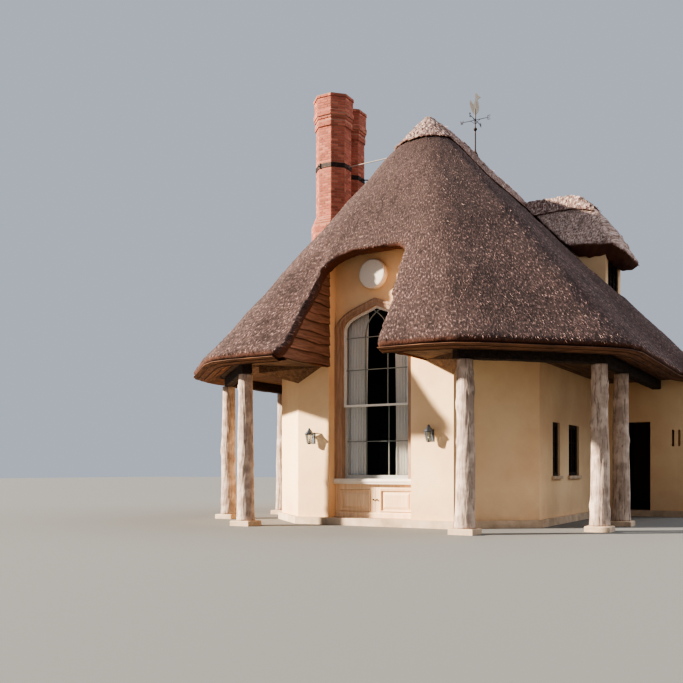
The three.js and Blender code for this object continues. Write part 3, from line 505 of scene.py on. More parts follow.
# Thatch: reed laid down the slope, grey-brown with pale stalks showing. Colour and bump follow the piece's
# own map: across the slope, and down it. A stalk is drawn a few times its real width so that it shows.
def thatching(name, dark, mid, pale, cutEnds, stalkMm, lengthMm, bumpMm, paleShare):
    material, tree, shader = finish(name, mid, 0.97)
    flow = add(tree, "ShaderNodeUVMap", {"uv_map": "flow"}).outputs[0]
    stretched = add(tree, "ShaderNodeMapping", {"Scale": (1000 / stalkMm / 2, 1000 / lengthMm / 2, 1.0)},
                    {"Vector": flow})
    stalks = add(tree, "ShaderNodeTexNoise", {"Scale": 1.0, "Detail": 3.0, "Roughness": 0.7},
                 {"Vector": stretched.outputs[0]})
    bunched = add(tree, "ShaderNodeMapping", {"Scale": (6.0, 2.2, 1.0)}, {"Vector": flow})
    bunches = add(tree, "ShaderNodeTexNoise", {"Scale": 1.0, "Detail": 4.0}, {"Vector": bunched.outputs[0]})
    weather = add(tree, "ShaderNodeTexNoise", {"Scale": 0.55, "Detail": 5.0}, {"Vector": place(tree)})
    flat = add(tree, "ShaderNodeMapRange", {"From Min": 0.30, "From Max": 0.60}, {"Value": stalks.outputs[0]})
    bright = add(tree, "ShaderNodeMapRange", {"From Min": paleShare, "From Max": paleShare + 0.12},
                 {"Value": stalks.outputs[0]})
    body = blendColour(tree, flat.outputs[0], dark, mid)
    streaked = blendColour(tree, bright.outputs[0], body, pale)
    old = add(tree, "ShaderNodeMapRange", {"From Min": 0.35, "From Max": 0.7, "To Min": 0.0, "To Max": 0.35},
              {"Value": weather.outputs[0]})
    aged = blendColour(tree, old.outputs[0], streaked, dark)
    # Between the bunches, where the bump is low, the colour is darkened towards the dark reed: painted shade
    paintedBunchShade = add(tree, "ShaderNodeMapRange", {"From Min": 0.3, "From Max": 0.52, "To Min": 0.5,
                                              "To Max": 0.0}, {"Value": bunches.outputs[0]})
    lit = blendColour(tree, paintedBunchShade.outputs[0], aged, dark)
    cut = add(tree, "ShaderNodeAttribute", {"attribute_name": "cut"}).outputs["Fac"]
    ends = add(tree, "ShaderNodeTexNoise", {"Scale": 28.0, "Detail": 3.0}, {"Vector": place(tree)})
    endTone = blendColour(tree, ends.outputs[0], cutEnds, dark)
    high = add(tree, "ShaderNodeMath", {"operation": "MULTIPLY_ADD", 1: 0.8},
               {0: bunches.outputs[0], 2: stalks.outputs[0]})
    surface(tree, shader, blendColour(tree, cut, lit, endTone), high.outputs[0], 0.9, bumpMm)
    return material


thatchReed = thatching("weathered_reed_thatch", "#261c1a", "#67504a", "#bf9f96", "#7d4c35", 12, 40, 14, 0.57)
cappingReed = thatching("capping_straw", "#4d3b35", "#ae9085", "#e8d0c5", "#85583c", 16, 60, 16, 0.50)
# The dormer's reed is painted paler than the main thatch: painted light, for sun that the shadow of the ridge
# keeps off it
paintedLightDormerReed = thatching("dormer_reed_thatch", "#5f4a42", "#c9a798", "#f3ddd2", "#7d4c35", 13, 40, 14, 0.48)

# Reed stalks: each one has its own shade between dark and bleached
stalkLook = {"dark": "#33261f", "mid": "#80625a", "pale": "#d4b3a8"}
stalkStraw, tree, shader = finish("loose_reed_stalks", stalkLook["mid"], 0.85)
tone = add(tree, "ShaderNodeAttribute", {"attribute_name": "tone"}).outputs["Fac"]
old = add(tree, "ShaderNodeMapRange", {"From Min": 0.0, "From Max": 0.5}, {"Value": tone})
new = add(tree, "ShaderNodeMapRange", {"From Min": 0.55, "From Max": 1.0}, {"Value": tone})
older = blendColour(tree, old.outputs[0], stalkLook["dark"], stalkLook["mid"])
tree.links.new(blendColour(tree, new.outputs[0], older, stalkLook["pale"]), shader.inputs["Base Color"])


# A CAD node as an even mesh of small quads: a merged copy, remeshed and smoothed.
# Returns corners, quads and a normal at each corner.
def evenMesh(node, voxel, smoothing):
    mesh = nodes[node].data.copy()
    work = bmesh.new()
    work.from_mesh(mesh)
    bmesh.ops.remove_doubles(work, verts=work.verts, dist=1e-5)
    work.to_mesh(mesh)
    work.free()
    lump = bpy.data.objects.new("lump", mesh)
    bpy.context.scene.collection.objects.link(lump)
    remesh = lump.modifiers.new("even", "REMESH")
    remesh.mode = "VOXEL"
    remesh.voxel_size = voxel
    smooth = lump.modifiers.new("soft", "SMOOTH")
    smooth.factor = 0.5
    smooth.iterations = smoothing
    done = lump.evaluated_get(bpy.context.evaluated_depsgraph_get()).to_mesh()
    corners = np.empty(len(done.vertices) * 3, np.float32)
    done.vertices.foreach_get("co", corners)
    loops = np.empty(len(done.loops), np.int32)
    done.loops.foreach_get("vertex_index", loops)
    normals = np.empty(len(done.vertices) * 3, np.float32)
    done.vertex_normals.foreach_get("vector", normals)
    bpy.data.objects.remove(lump)
    return corners.reshape(-1, 3).astype(float), loops.reshape(-1, 4), normals.reshape(-1, 3).astype(float)


# How far round the roof a point is, and how far down its slope, in metres. In front of the peak the way
# round is an angle about the peak, along the sides it is y, and behind the ridge an angle again.
roofMap = {"ridgeEnd": 6.7, "turnRadius": 3.2, "top": 9.3, "slope": 1.33}


def roofFlow(points):
    x, y, z = points.T
    frontAngle = np.arctan2(np.abs(x), np.maximum(-y, 0) + 1e-6)
    backAngle = np.arctan2(np.maximum(y - roofMap["ridgeEnd"], 0), np.abs(x) + 1e-6)
    around = (frontAngle + backAngle) * roofMap["turnRadius"] + np.clip(y, 0, roofMap["ridgeEnd"])
    return np.stack([around * np.where(x < 0, -1, 1), (roofMap["top"] - z) * roofMap["slope"]], -1)


# The direction down the slope at each normal: straight down, less its part along the normal
def downSlope(normals):
    down = -np.array([0, 0, 1.0]) + normals * normals[:, 2:]
    return down / np.maximum(np.linalg.norm(down, axis=1), 1e-6)[:, None]


# Stalks scattered over chosen quads. Each is a closed spike of four faces: a triangle at its thick end,
# and a tip at the thick end + length * direction, where the direction is down the slope, turned and lifted.
# Corners that would leave the box of the CAD solids are kept on it.
def stalksOver(corners, quads, chosen, count, seed, look):
    rng = np.random.default_rng(seed)
    quad = corners[quads[chosen]]
    normal = np.cross(quad[:, 2] - quad[:, 0], quad[:, 3] - quad[:, 1])
    area = np.linalg.norm(normal, axis=1)
    normal /= area[:, None]
    pick = rng.choice(len(quad), count, p=area / area.sum())
    s, t = rng.random((2, count, 1))
    q, n = quad[pick], normal[pick]
    spot = (q[:, 0] * (1 - s) + q[:, 1] * s) * (1 - t) + (q[:, 3] * (1 - s) + q[:, 2] * s) * t
    down = downSlope(n)
    across = np.cross(n, down)
    heading = down + across * rng.normal(0, look["spread"], (count, 1)) + n * rng.normal(
        look["lift"], look["lift"] * 0.6, (count, 1))
    heading /= np.linalg.norm(heading, axis=1)[:, None]
    side = np.cross(heading, n)
    side /= np.linalg.norm(side, axis=1)[:, None]
    up = np.cross(side, heading)
    length = rng.uniform(look["shortest"], look["longest"], (count, 1))
    radius = rng.uniform(0.6, 1.0, (count, 1)) * look["width"] / 2
    root = spot - n * look["sink"]
    angles = np.array([90, 210, 330]) * np.pi / 180
    ring = [root + (side * math.cos(a) + up * math.sin(a)) * radius for a in angles]
    points = np.stack([*ring, root + heading * length], 1).reshape(-1, 3)
    points = np.clip(points, cadBounds[0], cadBounds[1])
    first = np.arange(count)[:, None] * 4
    faces = np.concatenate([first + np.array(f) for f in ([0, 1, 2], [0, 3, 1], [1, 3, 2], [2, 3, 0])])
    return points, faces, np.repeat(rng.random(count) ** look["bleach"], 4)


# Main thatch: the CAD shell, softened, with shallow waves and small tufts pressed into it. Under the lip it
# is drawn up to a part of its depth, which leaves room for the boards that close the eave.
coat = {"voxel": 0.084, "smoothing": 4, "waveMm": 20, "waveSize": 1.3, "tuftMm": 7, "tuftSize": 0.22,
        "lipTop": 3.30, "lipShare": 0.45}
tuftSquash = np.array([1, 1, 0.45])
cutEdge = {"from": 0.05, "over": 0.25}


# Corner + normal * (waves + tufts that are drawn out upwards), less the height of a tuft
def roughened(corners, normals, look, seed):
    swell = waves(corners, look["waveSize"], seed) * look["waveMm"] / 1000
    tufts = waves(corners * tuftSquash, look["tuftSize"], seed + 1, 14) * look["tuftMm"] / 1000
    return corners + normals * (swell + tufts - look["tuftMm"] / 1000)[:, None]


# The cut ends of the straw show where a surface stands upright (from none) or hangs over (to all of it)
def cutShare(normals):
    return {"cut": np.clip((cutEdge["from"] - normals[:, 2]) / cutEdge["over"], 0, 1)}


corners, quads, normals = evenMesh("main_thatch", coat["voxel"], coat["smoothing"])
corners = roughened(corners, normals, coat, 11)
under = coat["lipTop"] - corners[:, 2]
corners[:, 2] = coat["lipTop"] - np.where(under > 0, under * coat["lipShare"], under)

# The left edge of the window gap is trimmed thin. Its top is pressed down by drop * nearness to the edge *
# share of the thickness that lies under the point, fading out towards the top of the gap. Points to the right
# of the edge and points behind the gap stay.
shoulder = {"edge": -1.03, "wide": 0.70, "drop": 0.17, "footY": -4.56, "footZ": 3.30, "pitch": 1.182,
            "tipZ": 3.35, "thick": 0.45, "fadeTop": 5.95, "fadeTall": 0.7, "past": 0.12, "backY": -2.4}
near = np.clip(1 - (shoulder["edge"] - corners[:, 0]) / shoulder["wide"], 0, 1)
near = np.where(corners[:, 0] > shoulder["edge"] + shoulder["past"], 0, near * near * (3 - 2 * near))
lining = shoulder["footZ"] + shoulder["pitch"] * (corners[:, 1] - shoulder["footY"])
depth = np.clip((corners[:, 2] - np.maximum(lining, shoulder["tipZ"])) / shoulder["thick"], 0, 1)
fade = np.clip((shoulder["fadeTop"] - corners[:, 2]) / shoulder["fadeTall"], 0, 1)
corners[:, 2] -= shoulder["drop"] * near * depth * fade * (corners[:, 1] < shoulder["backY"])
mainCoat = newPiece("thatch_coat", corners, quads, thatchReed, "thatch", smooth=True, flow=roofFlow(corners),
                    values=cutShare(normals))
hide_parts("main_thatch")
print("main thatch:", len(quads) * 2, "triangles")

# Loose reed on the slopes, in a front and a back half. Towards the right, where x passes from one value to
# another, its stalks are painted paler: painted light, for stalk tips that catch the light on that side.
reed = {"width": 0.016, "shortest": 0.04, "longest": 0.10, "spread": 0.40, "lift": 0.10, "sink": 0.008,
        "bleach": 1.5, "count": 37000, "split": 1.4, "upward": 0.2}
paintedTipLight = {"from": 0.6, "over": 2.0, "share": 0.38}
middle = corners[quads].mean(1)
faceNormal = normals[quads].mean(1)
topSide = faceNormal[:, 2] > reed["upward"]
inFront = middle[:, 1] < reed["split"]
for name, half, seed in (("reed_front", inFront, 21), ("reed_back", ~inFront, 22)):
    chosen = np.flatnonzero(topSide & half)
    points, faces, tone = stalksOver(corners, quads, chosen, reed["count"], seed, reed)
    tone = tone + paintedTipLight["share"] * np.clip((points[:, 0] - paintedTipLight["from"]) / paintedTipLight["over"], 0, 1)
    newPiece(name, points, faces, stalkStraw, "thatch", values={"tone": tone})

# The trimmed eave: short stalk ends that stand out of the cut edge
trim = {"width": 0.018, "shortest": 0.03, "longest": 0.07, "spread": 0.25, "lift": 0.25, "sink": 0.02,
        "bleach": 1.6, "count": 9000, "low": 3.27, "high": 3.6, "upright": 0.45, "tone": 0.8}
height = middle[:, 2]
outsideCut = (faceNormal[:, 2] < trim["upright"]) & (height < trim["high"]) & (height > trim["low"])
points, faces, tone = stalksOver(corners, quads, np.flatnonzero(outsideCut), trim["count"], 23, trim)
newPiece("eave_reed_ends", points, faces, stalkStraw, "thatch", values={"tone": tone * trim["tone"]})


# Dormer thatch, coated in the same way. Its flow is measured along x, skewed by y, and down its slope.
dormerCoat = {"voxel": 0.05, "smoothing": 4, "waveMm": 14, "waveSize": 0.9, "tuftMm": 12, "tuftSize": 0.22,
              "skew": 0.4, "top": 9, "slope": 1.2, "count": 9000, "toneSpan": 0.5}
corners, quads, normals = evenMesh("dormer_thatch", dormerCoat["voxel"], dormerCoat["smoothing"])
corners = roughened(corners, normals, dormerCoat, 31)
flow = np.stack([corners[:, 0] - corners[:, 1] * dormerCoat["skew"],
                 (dormerCoat["top"] - corners[:, 2]) * dormerCoat["slope"]], -1)
hood = newPiece("dormer_coat", corners, quads, paintedLightDormerReed, "thatch", smooth=True, flow=flow,
                values=cutShare(normals))
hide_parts("dormer_thatch")
topSide = np.flatnonzero(normals[quads].mean(1)[:, 2] > reed["upward"])
points, faces, tone = stalksOver(corners, quads, topSide, dormerCoat["count"], 32, reed)
# Its stalks are painted paler as well: painted light, as on its coat
tone = 1 - dormerCoat["toneSpan"] * (1 - tone)
newPiece("dormer_reed", points, faces, stalkStraw, "thatch", values={"tone": tone})


# Capping: a thick layer of straw laced down with crossing rods. Lumps of straw stand up between the rods:
# height = |sin(across + down)| * |sin(across - down)|, each to the power a half, so the cells are diamonds.
# Each cell's height varies a little, and a fine fuzz lies over all of it.
capping = {"voxel": 0.028, "smoothing": 2, "cellWide": 0.20, "cellTall": 0.26, "lumpMm": 42,
           "lumpVary": 0.35, "varySize": 0.35, "fuzzMm": 7, "fuzzSize": 0.07, "upward": 0.1,
           "stalkShare": 0.22, "toneSpan": 0.6}
capStalks = {**reed, "shortest": 0.07, "longest": 0.16, "spread": 0.5, "bleach": 0.6}


def laced(corners, normals, flow, look, seed):
    across, down = flow[:, 0] / look["cellWide"], flow[:, 1] / look["cellTall"]
    lump = np.abs(np.sin(np.pi * (across + down))) ** 0.5 * np.abs(np.sin(np.pi * (across - down))) ** 0.5
    uneven = 1 - look["lumpVary"] * (1 - waves(corners, look["varySize"], seed))
    fuzz = waves(corners, look["fuzzSize"], seed + 1, 14) * look["fuzzMm"] / 1000
    return corners + normals * ((lump * uneven - 1) * look["lumpMm"] / 1000 + fuzz)[:, None]


# The way across and the way down on each cap. The bonnet's way across is an angle about the peak times a
# radius; the other caps run straight, and their way down is the distance from the middle line times a slope.
bonnet = {"middle": -0.05, "radius": 0.55, "top": 9.4, "slope": 1.25}
mainRidge = {"middle": 0, "slope": 1.4}
dormerRidge = {"middle": 5.38, "slope": 1.3}


def bonnetFlow(x, y, z):
    angle = np.arctan2(x - bonnet["middle"], -y)
    return angle * bonnet["radius"], (bonnet["top"] - z) * bonnet["slope"]


capFlows = {
    "peak_cap": bonnetFlow,
    "ridge_cap": lambda x, y, z: (y, np.abs(x - mainRidge["middle"]) * mainRidge["slope"]),
    "dormer_ridge_cap": lambda x, y, z: (x, np.abs(y - dormerRidge["middle"]) * dormerRidge["slope"]),
}
for node, flowOf in capFlows.items():
    corners, quads, normals = evenMesh(node, capping["voxel"], capping["smoothing"])
    outside = np.clip(normals[:, 2] * 4, 0, 1)[:, None]
    flow = np.stack(flowOf(*corners.T), -1)
    corners = corners + (laced(corners, normals, flow, capping, 41) - corners) * outside
    cap = newPiece(node + "_straw", corners, quads, cappingReed, "ridge_thatch", smooth=True, flow=flow,
                   values=cutShare(normals))
    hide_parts(node)
    chosen = np.flatnonzero(normals[quads].mean(1)[:, 2] > capping["upward"])
    count = int(len(chosen) * capping["stalkShare"])
    points, faces, tone = stalksOver(corners, quads, chosen, count, 42, capStalks)
    tone = 1 - capping["toneSpan"] * (1 - tone)
    newPiece(node + "_stalks", points, faces, stalkStraw, "ridge_thatch", values={"tone": tone})
    print(node, len(quads) * 2, "triangles")


# Finishes of the CAD nodes that keep their own mesh
walls = ["front_wall_right", "front_wall_left", "window_wall", "canted_wall_right", "canted_wall_left",
         "side_wall_right", "side_wall_left", "return_wall_right", "return_wall_left", "rear_side_wall_right",
         "rear_side_wall_left", "rear_wall", "dormer_walls"]
dress(limeRender, *walls)
dress(limestone, "plinth")
dress(paleSill, "window_sill")
dress(stoneFlags, "floor")
dress(mouldedWood, "window_surround")
dress(whitePaint, "upper_sash", "lower_sash")
dress(creamBoards, "base_panels")
dress(sheetGlass, "window_glass", "side_glass_right", "side_glass_left_front", "side_glass_left_rear",
      "rear_side_glass_right", "rear_side_glass_left", "rear_glass", "dormer_glass")
dress(darkOak, "dormer_window")
dress(ceilingBoards, "veranda_ceiling_right", "veranda_ceiling_left")
dress(elmBoards, "cheek_right", "cheek_left")
dress(limeMortar, "chimney_base", "chimney_shaft_front", "chimney_shaft_rear")
dress(forgedIron, "chimney_strap", "chimney_stay_rear")
dress(paleRod, "chimney_stay_front")
dress(vaneMetal, "vane_figure")


# Brickwork of the chimney, laid over the CAD solids, which show as the mortar. A course is a row of bricks
# round a closed outline: each side of the outline is shared out into whole bricks, and every second row is
# moved along by half a brick. Each brick is a small block that stands proud of the joint.
brickwork = {"course": 0.066, "length": 0.215, "joint": 0.015, "proud": 0.005, "depth": 0.02,
             "wobble": 0.0012}


def courses(outlineAt, bottom, top, seed, keep):
    rng = np.random.default_rng(seed)
    middles, halves, axes = [], [], []
    rows = int(round((top - bottom) / brickwork["course"]))
    tall = (top - bottom) / rows
    joint, depth = brickwork["joint"], brickwork["depth"]
    for row in range(rows):
        z = bottom + (row + 0.5) * tall
        outline = outlineAt(z)
        for start, end in zip(outline, np.roll(outline, -1, axis=0)):
            wide = np.linalg.norm(end - start)
            along = (end - start) / wide
            out = np.array([along[1], -along[0]])
            count = max(1, round(wide / brickwork["length"]))
            edges = (np.arange(count + 1) - (0.5 if row % 2 else 0)) / count
            edges = np.unique(np.clip(np.append(edges, 1.0), 0, 1))
            spans = np.diff(edges) * wide
            bricks = len(spans)
            centre = start + np.outer((edges[1:] + edges[:-1]) / 2 * wide, along)
            wobble = rng.normal(0, brickwork["wobble"], (bricks, 1))
            centre = centre + out * (brickwork["proud"] - depth / 2 + wobble)
            middles.append(np.column_stack([centre, np.full(bricks, z)]))
            halves.append(np.column_stack([(spans - joint) / 2, np.full(bricks, depth / 2),
                                           np.full(bricks, (tall - joint) / 2)]))
            axes.append(np.broadcast_to([[*along, 0], [*out, 0], [0, 0, 1]], (bricks, 3, 3)))
    middles, halves, axes = (np.concatenate(x) for x in (middles, halves, axes))
    kept = keep(middles)
    corners, faces = cuboids(middles[kept], halves[kept], axes[kept])
    return corners, faces, np.repeat(rng.random(np.count_nonzero(kept)), 8)


# The octagon's corners at a radius that changes with height, as a straight-sided profile does
shaftPlan = {"front": (-3.15, 1.06), "rear": (-3.3, 2.04)}
shaftProfile = {
    "z": [4.12, 7.37, 7.59, 7.64, 9.85, 9.875, 10.01, 10.035, 10.17, 10.25, 10.275, 10.59, 10.61, 10.665],
    "r": [0.575, 0.575, 0.480, 0.455, 0.455, 0.486, 0.486, 0.466, 0.522, 0.522, 0.498, 0.506, 0.522, 0.522],
}
shaftBricks = {"foot": 4.2, "head": 10.65, "footRadius": 0.575, "apart": 7.6}
eighths = np.arange(8) * np.pi / 4 + np.pi / 8


def octagonAt(middle):
    def outlineAt(z):
        radius = np.interp(z, shaftProfile["z"], shaftProfile["r"])
        return np.array(middle) + radius * np.column_stack([np.cos(eighths), np.sin(eighths)])
    return outlineAt


# Leaves out the bricks inside the other shaft's foot. Above a height the two shafts stand apart.
def clearOf(other):
    def keep(middles):
        turns = eighths + np.pi / 8
        apart = middles[:, :2] - np.array(other)
        reach = np.abs(apart @ np.stack([np.cos(turns), np.sin(turns)])).max(1)
        outside = reach > shaftBricks["footRadius"] * math.cos(math.pi / 8)
        return outside | (middles[:, 2] > shaftBricks["apart"])
    return keep


for (name, middle), other, seed in zip(shaftPlan.items(), ("rear", "front"), (51, 52)):
    corners, faces, tone = courses(octagonAt(middle), shaftBricks["foot"], shaftBricks["head"], seed,
                                   clearOf(shaftPlan[other]))
    newPiece("shaft_bricks_" + name, corners, faces, redBrick, "red_brick", values={"tone": tone})

# The breast of the chimney, bricked only where it stands out of the side wall
breast = {"left": -3.79, "right": -2.95, "front": 0.5, "rear": 2.6, "top": 4.05, "wall": -3.06}
breastOutline = np.array([(breast["left"], breast["rear"]), (breast["left"], breast["front"]),
                          (breast["right"], breast["front"]), (breast["right"], breast["rear"])])
corners, faces, tone = courses(lambda z: breastOutline, 0.0, breast["top"], 53,
                               lambda middles: middles[:, 0] < breast["wall"])
newPiece("breast_bricks", corners, faces, redBrick, "red_brick", values={"tone": tone})

# A clay liner stands a little way down each flue, with soot on it
liner = {"inner": 0.225, "outer": 0.262, "low": 10.251, "high": 10.56, "tone": 0.25}
linerProfile = [(liner[r], liner[z]) for r, z in (("inner", "low"), ("outer", "low"), ("outer", "high"),
                                                  ("inner", "high"), ("inner", "low"))]
for name, middle in shaftPlan.items():
    rim = turnedShape(linerProfile, (*middle, 0), 24)
    newPiece("flue_liner_" + name, *rim, redBrick, "red_brick", outward=True,
             values={"tone": np.full(len(rim[0]), liner["tone"])})

# Iron strap: lapped ends, each a plate with a bolt through it
strap = {"radius": 0.445, "height": 8.87, "turns": (-112.5, 157.5), "plate": [0.012, 0.05, 0.062],
         "boltRadius": 0.022, "boltIn": 0.01, "boltOut": 0.05}
shapes = []
for middle in shaftPlan.values():
    for turn in np.radians(strap["turns"]):
        out = np.array([math.cos(turn), math.sin(turn), 0])
        spot = np.array([*middle, strap["height"]]) + out * strap["radius"]
        bolt = [spot - out * strap["boltIn"], spot + out * strap["boltOut"]]
        shapes.append(rod(bolt, strap["boltRadius"], 6))
        shapes.append(cuboids([spot + out * strap["plate"][0]], strap["plate"],
                              [[out, [-out[1], out[0], 0], [0, 0, 1]]]))
newPiece("strap_bolts", *together(shapes), forgedIron, "wrought_iron", outward=True)
print("chimney done")


# Cubic curve from a to d: corner = (1-t)^3 a + 3 (1-t)^2 t b + 3 (1-t) t^2 c + t^3 d, with t from 0 to 1
def cubic(a, b, c, d, count):
    t = np.linspace(0, 1, count)[:, None]
    a, b, c, d = (np.array(corner, float) for corner in (a, b, c, d))
    return (1 - t) ** 3 * a + 3 * (1 - t) ** 2 * t * b + 3 * (1 - t) * t ** 2 * c + t ** 3 * d


# Tall window. Its head is a low pointed arch, drawn by two cubic curves from the springing to the apex. The
# whole outline runs up one side, over, and down.
tallWindow = {"left": -0.84, "right": 0.685, "foot": 0.95, "spring": 4.0, "apex": 4.5, "face": -2.434,
              "middle": -0.0775, "bayLeft": -1.02, "bayRight": 0.865, "bayPlay": 0.005, "meeting": 2.46,
              "sill": 0.852, "shoulder": 0.6, "crown": 0.66, "crownWide": 0.48, "archPoints": 22}


def archCurve(grow):
    left, right, apex, spring = (tallWindow[key] for key in ("left", "right", "apex", "spring"))
    rise, mid, wide = apex - spring, (left + right) / 2, (right - left) / 2
    count = tallWindow["archPoints"]
    shoulder, crown = (spring + rise * tallWindow[key] for key in ("shoulder", "crown"))
    crown, top, lean = crown + grow, (mid, apex + grow), wide * tallWindow["crownWide"]
    leftSide = cubic((left - grow, spring), (left - grow, shoulder), (mid - lean, crown), top, count)
    rightSide = cubic(top, (mid + lean, crown), (right + grow, shoulder), (right + grow, spring), count)
    return np.vstack([leftSide, rightSide[1:]])


# The moulding round the arch: its profile is measured outwards from the glass line, and forwards
outline = np.vstack([[(tallWindow["left"], tallWindow["foot"])], archCurve(0.0),
                     [(tallWindow["right"], tallWindow["foot"])]])
mouldProfile = [(0.004, -0.012), (0.004, 0.012), (0.018, 0.030), (0.040, 0.034), (0.046, 0.052),
                (0.066, 0.052), (0.074, 0.070), (0.104, 0.082), (0.124, 0.078), (0.130, 0.060),
                (0.150, 0.056), (0.152, -0.012)]
path = np.column_stack([outline[:, 0], np.full(len(outline), tallWindow["face"]), outline[:, 1]])
along = headings(outline)
outwards = np.column_stack([-along[:, 1], np.zeros(len(along)), along[:, 0]])
newPiece("surround_moulding", *carried(path, outwards, [0, -1.0, 0], mouldProfile), mouldedWood,
         "moulded_timber", outward=True)

# Bars of both sashes: square bars between the stiles, and a pair of curved bars that cross in the head. The
# sashes are given by y, foot and top: the upper one stands in front.
barLook = {"wide": 0.02, "deep": 0.03, "rows": [1.72, 3.20, 3.87], "columns": [-0.335, 0.18], "stile": 0.045}
upperSash, lowerSash = (-2.395, 2.46, 3.90), (-2.345, 0.98, 2.44)
halfWide, halfDeep = barLook["wide"] / 2, barLook["deep"] / 2
length = tallWindow["right"] - tallWindow["left"] - 2 * barLook["stile"]
shapes = []
for z in barLook["rows"]:
    y = (upperSash if z > tallWindow["meeting"] else lowerSash)[0]
    shapes.append(cuboids([(tallWindow["middle"], y, z)], (length / 2, halfDeep, halfWide)))
for x in barLook["columns"]:
    for y, foot, top in (upperSash, lowerSash):
        shapes.append(cuboids([(x, y, (foot + top) / 2)], (halfWide, halfDeep, (top - foot) / 2)))
barRing = np.array([(-1, -1), (1, -1), (1, 1), (-1, 1)]) * (halfWide, halfDeep)
headBars = [((-0.335, 3.88), (-0.33, 4.15), (-0.20, 4.33), (0.05, 4.44)),
            ((0.18, 3.88), (0.175, 4.15), (0.045, 4.33), (-0.205, 4.44))]
for corners in headBars:
    curve = cubic(*corners, 16)
    path = np.column_stack([curve[:, 0], np.full(len(curve), upperSash[0]), curve[:, 1]])
    shapes.append(carried(path, np.cross(headings(path), [0, 1.0, 0]), [0, 1.0, 0], barRing))
newPiece("window_bars", *together(shapes), shadedBarPaint, "white_paint", outward=True)


# A moulding that runs straight across the bay: its profile is measured upwards and forwards
def acrossBay(y, z, profile):
    play = tallWindow["bayPlay"]
    path = [(x, y, z) for x in (tallWindow["bayLeft"] + play, tallWindow["bayRight"] - play)]
    return carried(path, [0, 0, 1.0], [0, -1.0, 0], profile)


# Sill nosing: a rounded stone lip
nosing = [(0.0, 0.00625), (0.0, 0.09375), (0.02, 0.1225), (0.055, 0.13125), (0.085, 0.115), (0.098, 0.075),
          (0.098, 0.00625)]
sillNose = acrossBay(tallWindow["face"], tallWindow["sill"], nosing)
newPiece("sill_nosing", *sillNose, paleSill, "stone", outward=True)

# Panelled base: two bevelled fields, each with a bead round it, and a moulded skirting. The bead's profile
# and the field's steps are measured from the edge of the field inwards, and forwards.
panelLook = {"inset": 0.115, "low": 0.28, "high": 0.72, "y": -2.454, "skirtY": -2.453, "skirtZ": 0.152,
             "knobY": -2.455, "knobZ": 0.52, "knobs": {"left": -0.115, "right": -0.04}}
bead = [(0.0, -0.02), (0.0, 0.008), (0.008, 0.014), (0.018, 0.010), (0.024, -0.006), (0.024, -0.02)]
steps = [(0.06, -0.016), (0.06, -0.012), (0.10, 0.002), (0.14, 0.002)]
inwards = np.array([(1, 0, 1), (-1, 0, 1), (-1, 0, -1), (1, 0, -1)])
shapes = []
for x0, x1 in ((tallWindow["bayLeft"], tallWindow["middle"]), (tallWindow["middle"], tallWindow["bayRight"])):
    left, right = x0 + panelLook["inset"], x1 - panelLook["inset"]
    low, high, y = panelLook["low"], panelLook["high"], panelLook["y"]
    path = np.array([(left, y, low), (right, y, low), (right, y, high), (left, y, high)])
    shapes.append(carried(path, inwards, [0, -1.0, 0], bead, ring=True))
    field = np.concatenate([path + inwards * across - np.array([0, forward, 0]) for across, forward in steps])
    shapes.append((field, [gridFaces(4, 4, False, True), np.array([[12, 13, 14, 15], [3, 2, 1, 0]])]))
skirt = [(0.0, 0.0), (0.0, 0.034), (0.085, 0.034), (0.10, 0.026), (0.11, 0.012), (0.115, 0.0)]
shapes.append(acrossBay(panelLook["skirtY"], panelLook["skirtZ"], skirt))
newPiece("base_mouldings", *together(shapes), creamBoards, "cream_paint", outward=True)
knob = [(0.0, 0.0), (0.016, 0.0), (0.010, 0.012), (0.016, 0.022), (0.014, 0.032), (0.0, 0.036)]
for name, x in panelLook["knobs"].items():
    corners, faces = turnedShape(knob, (0, 0, 0), 16)
    corners = np.column_stack([corners[:, 0] + x, panelLook["knobY"] - corners[:, 2],
                               corners[:, 1] + panelLook["knobZ"]])
    newPiece("base_knob_" + name, corners, faces, forgedIron, "wrought_iron", smooth=True, outward=True)


# Curtains: gathered cotton cloth, whose folds deepen towards the hem, and whose head follows the arch:
# y = middle + depth * (sin p + a quarter of sin(2.1 p + 1)), with p = folds * across + a drift down the drop.
cottonLook = {"base": "#fbf9f5", "shade": "#f0ebe2", "threadMm": 4}
curtainCotton, tree, shader = finish("cotton_curtain", cottonLook["base"], 0.92, **{"Sheen Weight": 0.25})
weaveMap = add(tree, "ShaderNodeUVMap", {"uv_map": "flow"}).outputs[0]
threads = 1000 / cottonLook["threadMm"]
weft = add(tree, "ShaderNodeTexWave", {"Scale": threads / 20, "Distortion": 0.6, "Detail": 1.0},
           {"Vector": weaveMap})
slub = add(tree, "ShaderNodeTexNoise", {"Scale": 9.0, "Detail": 4.0}, {"Vector": weaveMap})
colour = blendColour(tree, slub.outputs[0], cottonLook["base"], cottonLook["shade"])
surface(tree, shader, colour, weft.outputs["Fac"], 0.25, 2)

curtains = {
    "left": {"outer": -0.99, "inner": -0.40, "folds": 9.5, "seed": 0.4, "swing": 0.05},
    "right": {"outer": 0.835, "inner": 0.27, "folds": 9.0, "seed": 1.9, "swing": -0.05},
}
drape = {"y": -2.215, "shallow": 0.014, "deep": 0.034, "hem": 0.985, "across": 150, "down": 46,
         "thick": 0.0016, "headTop": 4.45, "arch": 0.1, "under": 0.02, "sideways": 0.010}


# The curtain's head hangs a little under an arch that is somewhat wider than the glass
def archHeight(x):
    curve = archCurve(drape["arch"])
    return np.interp(x, curve[:, 0], curve[:, 1]) - drape["under"]


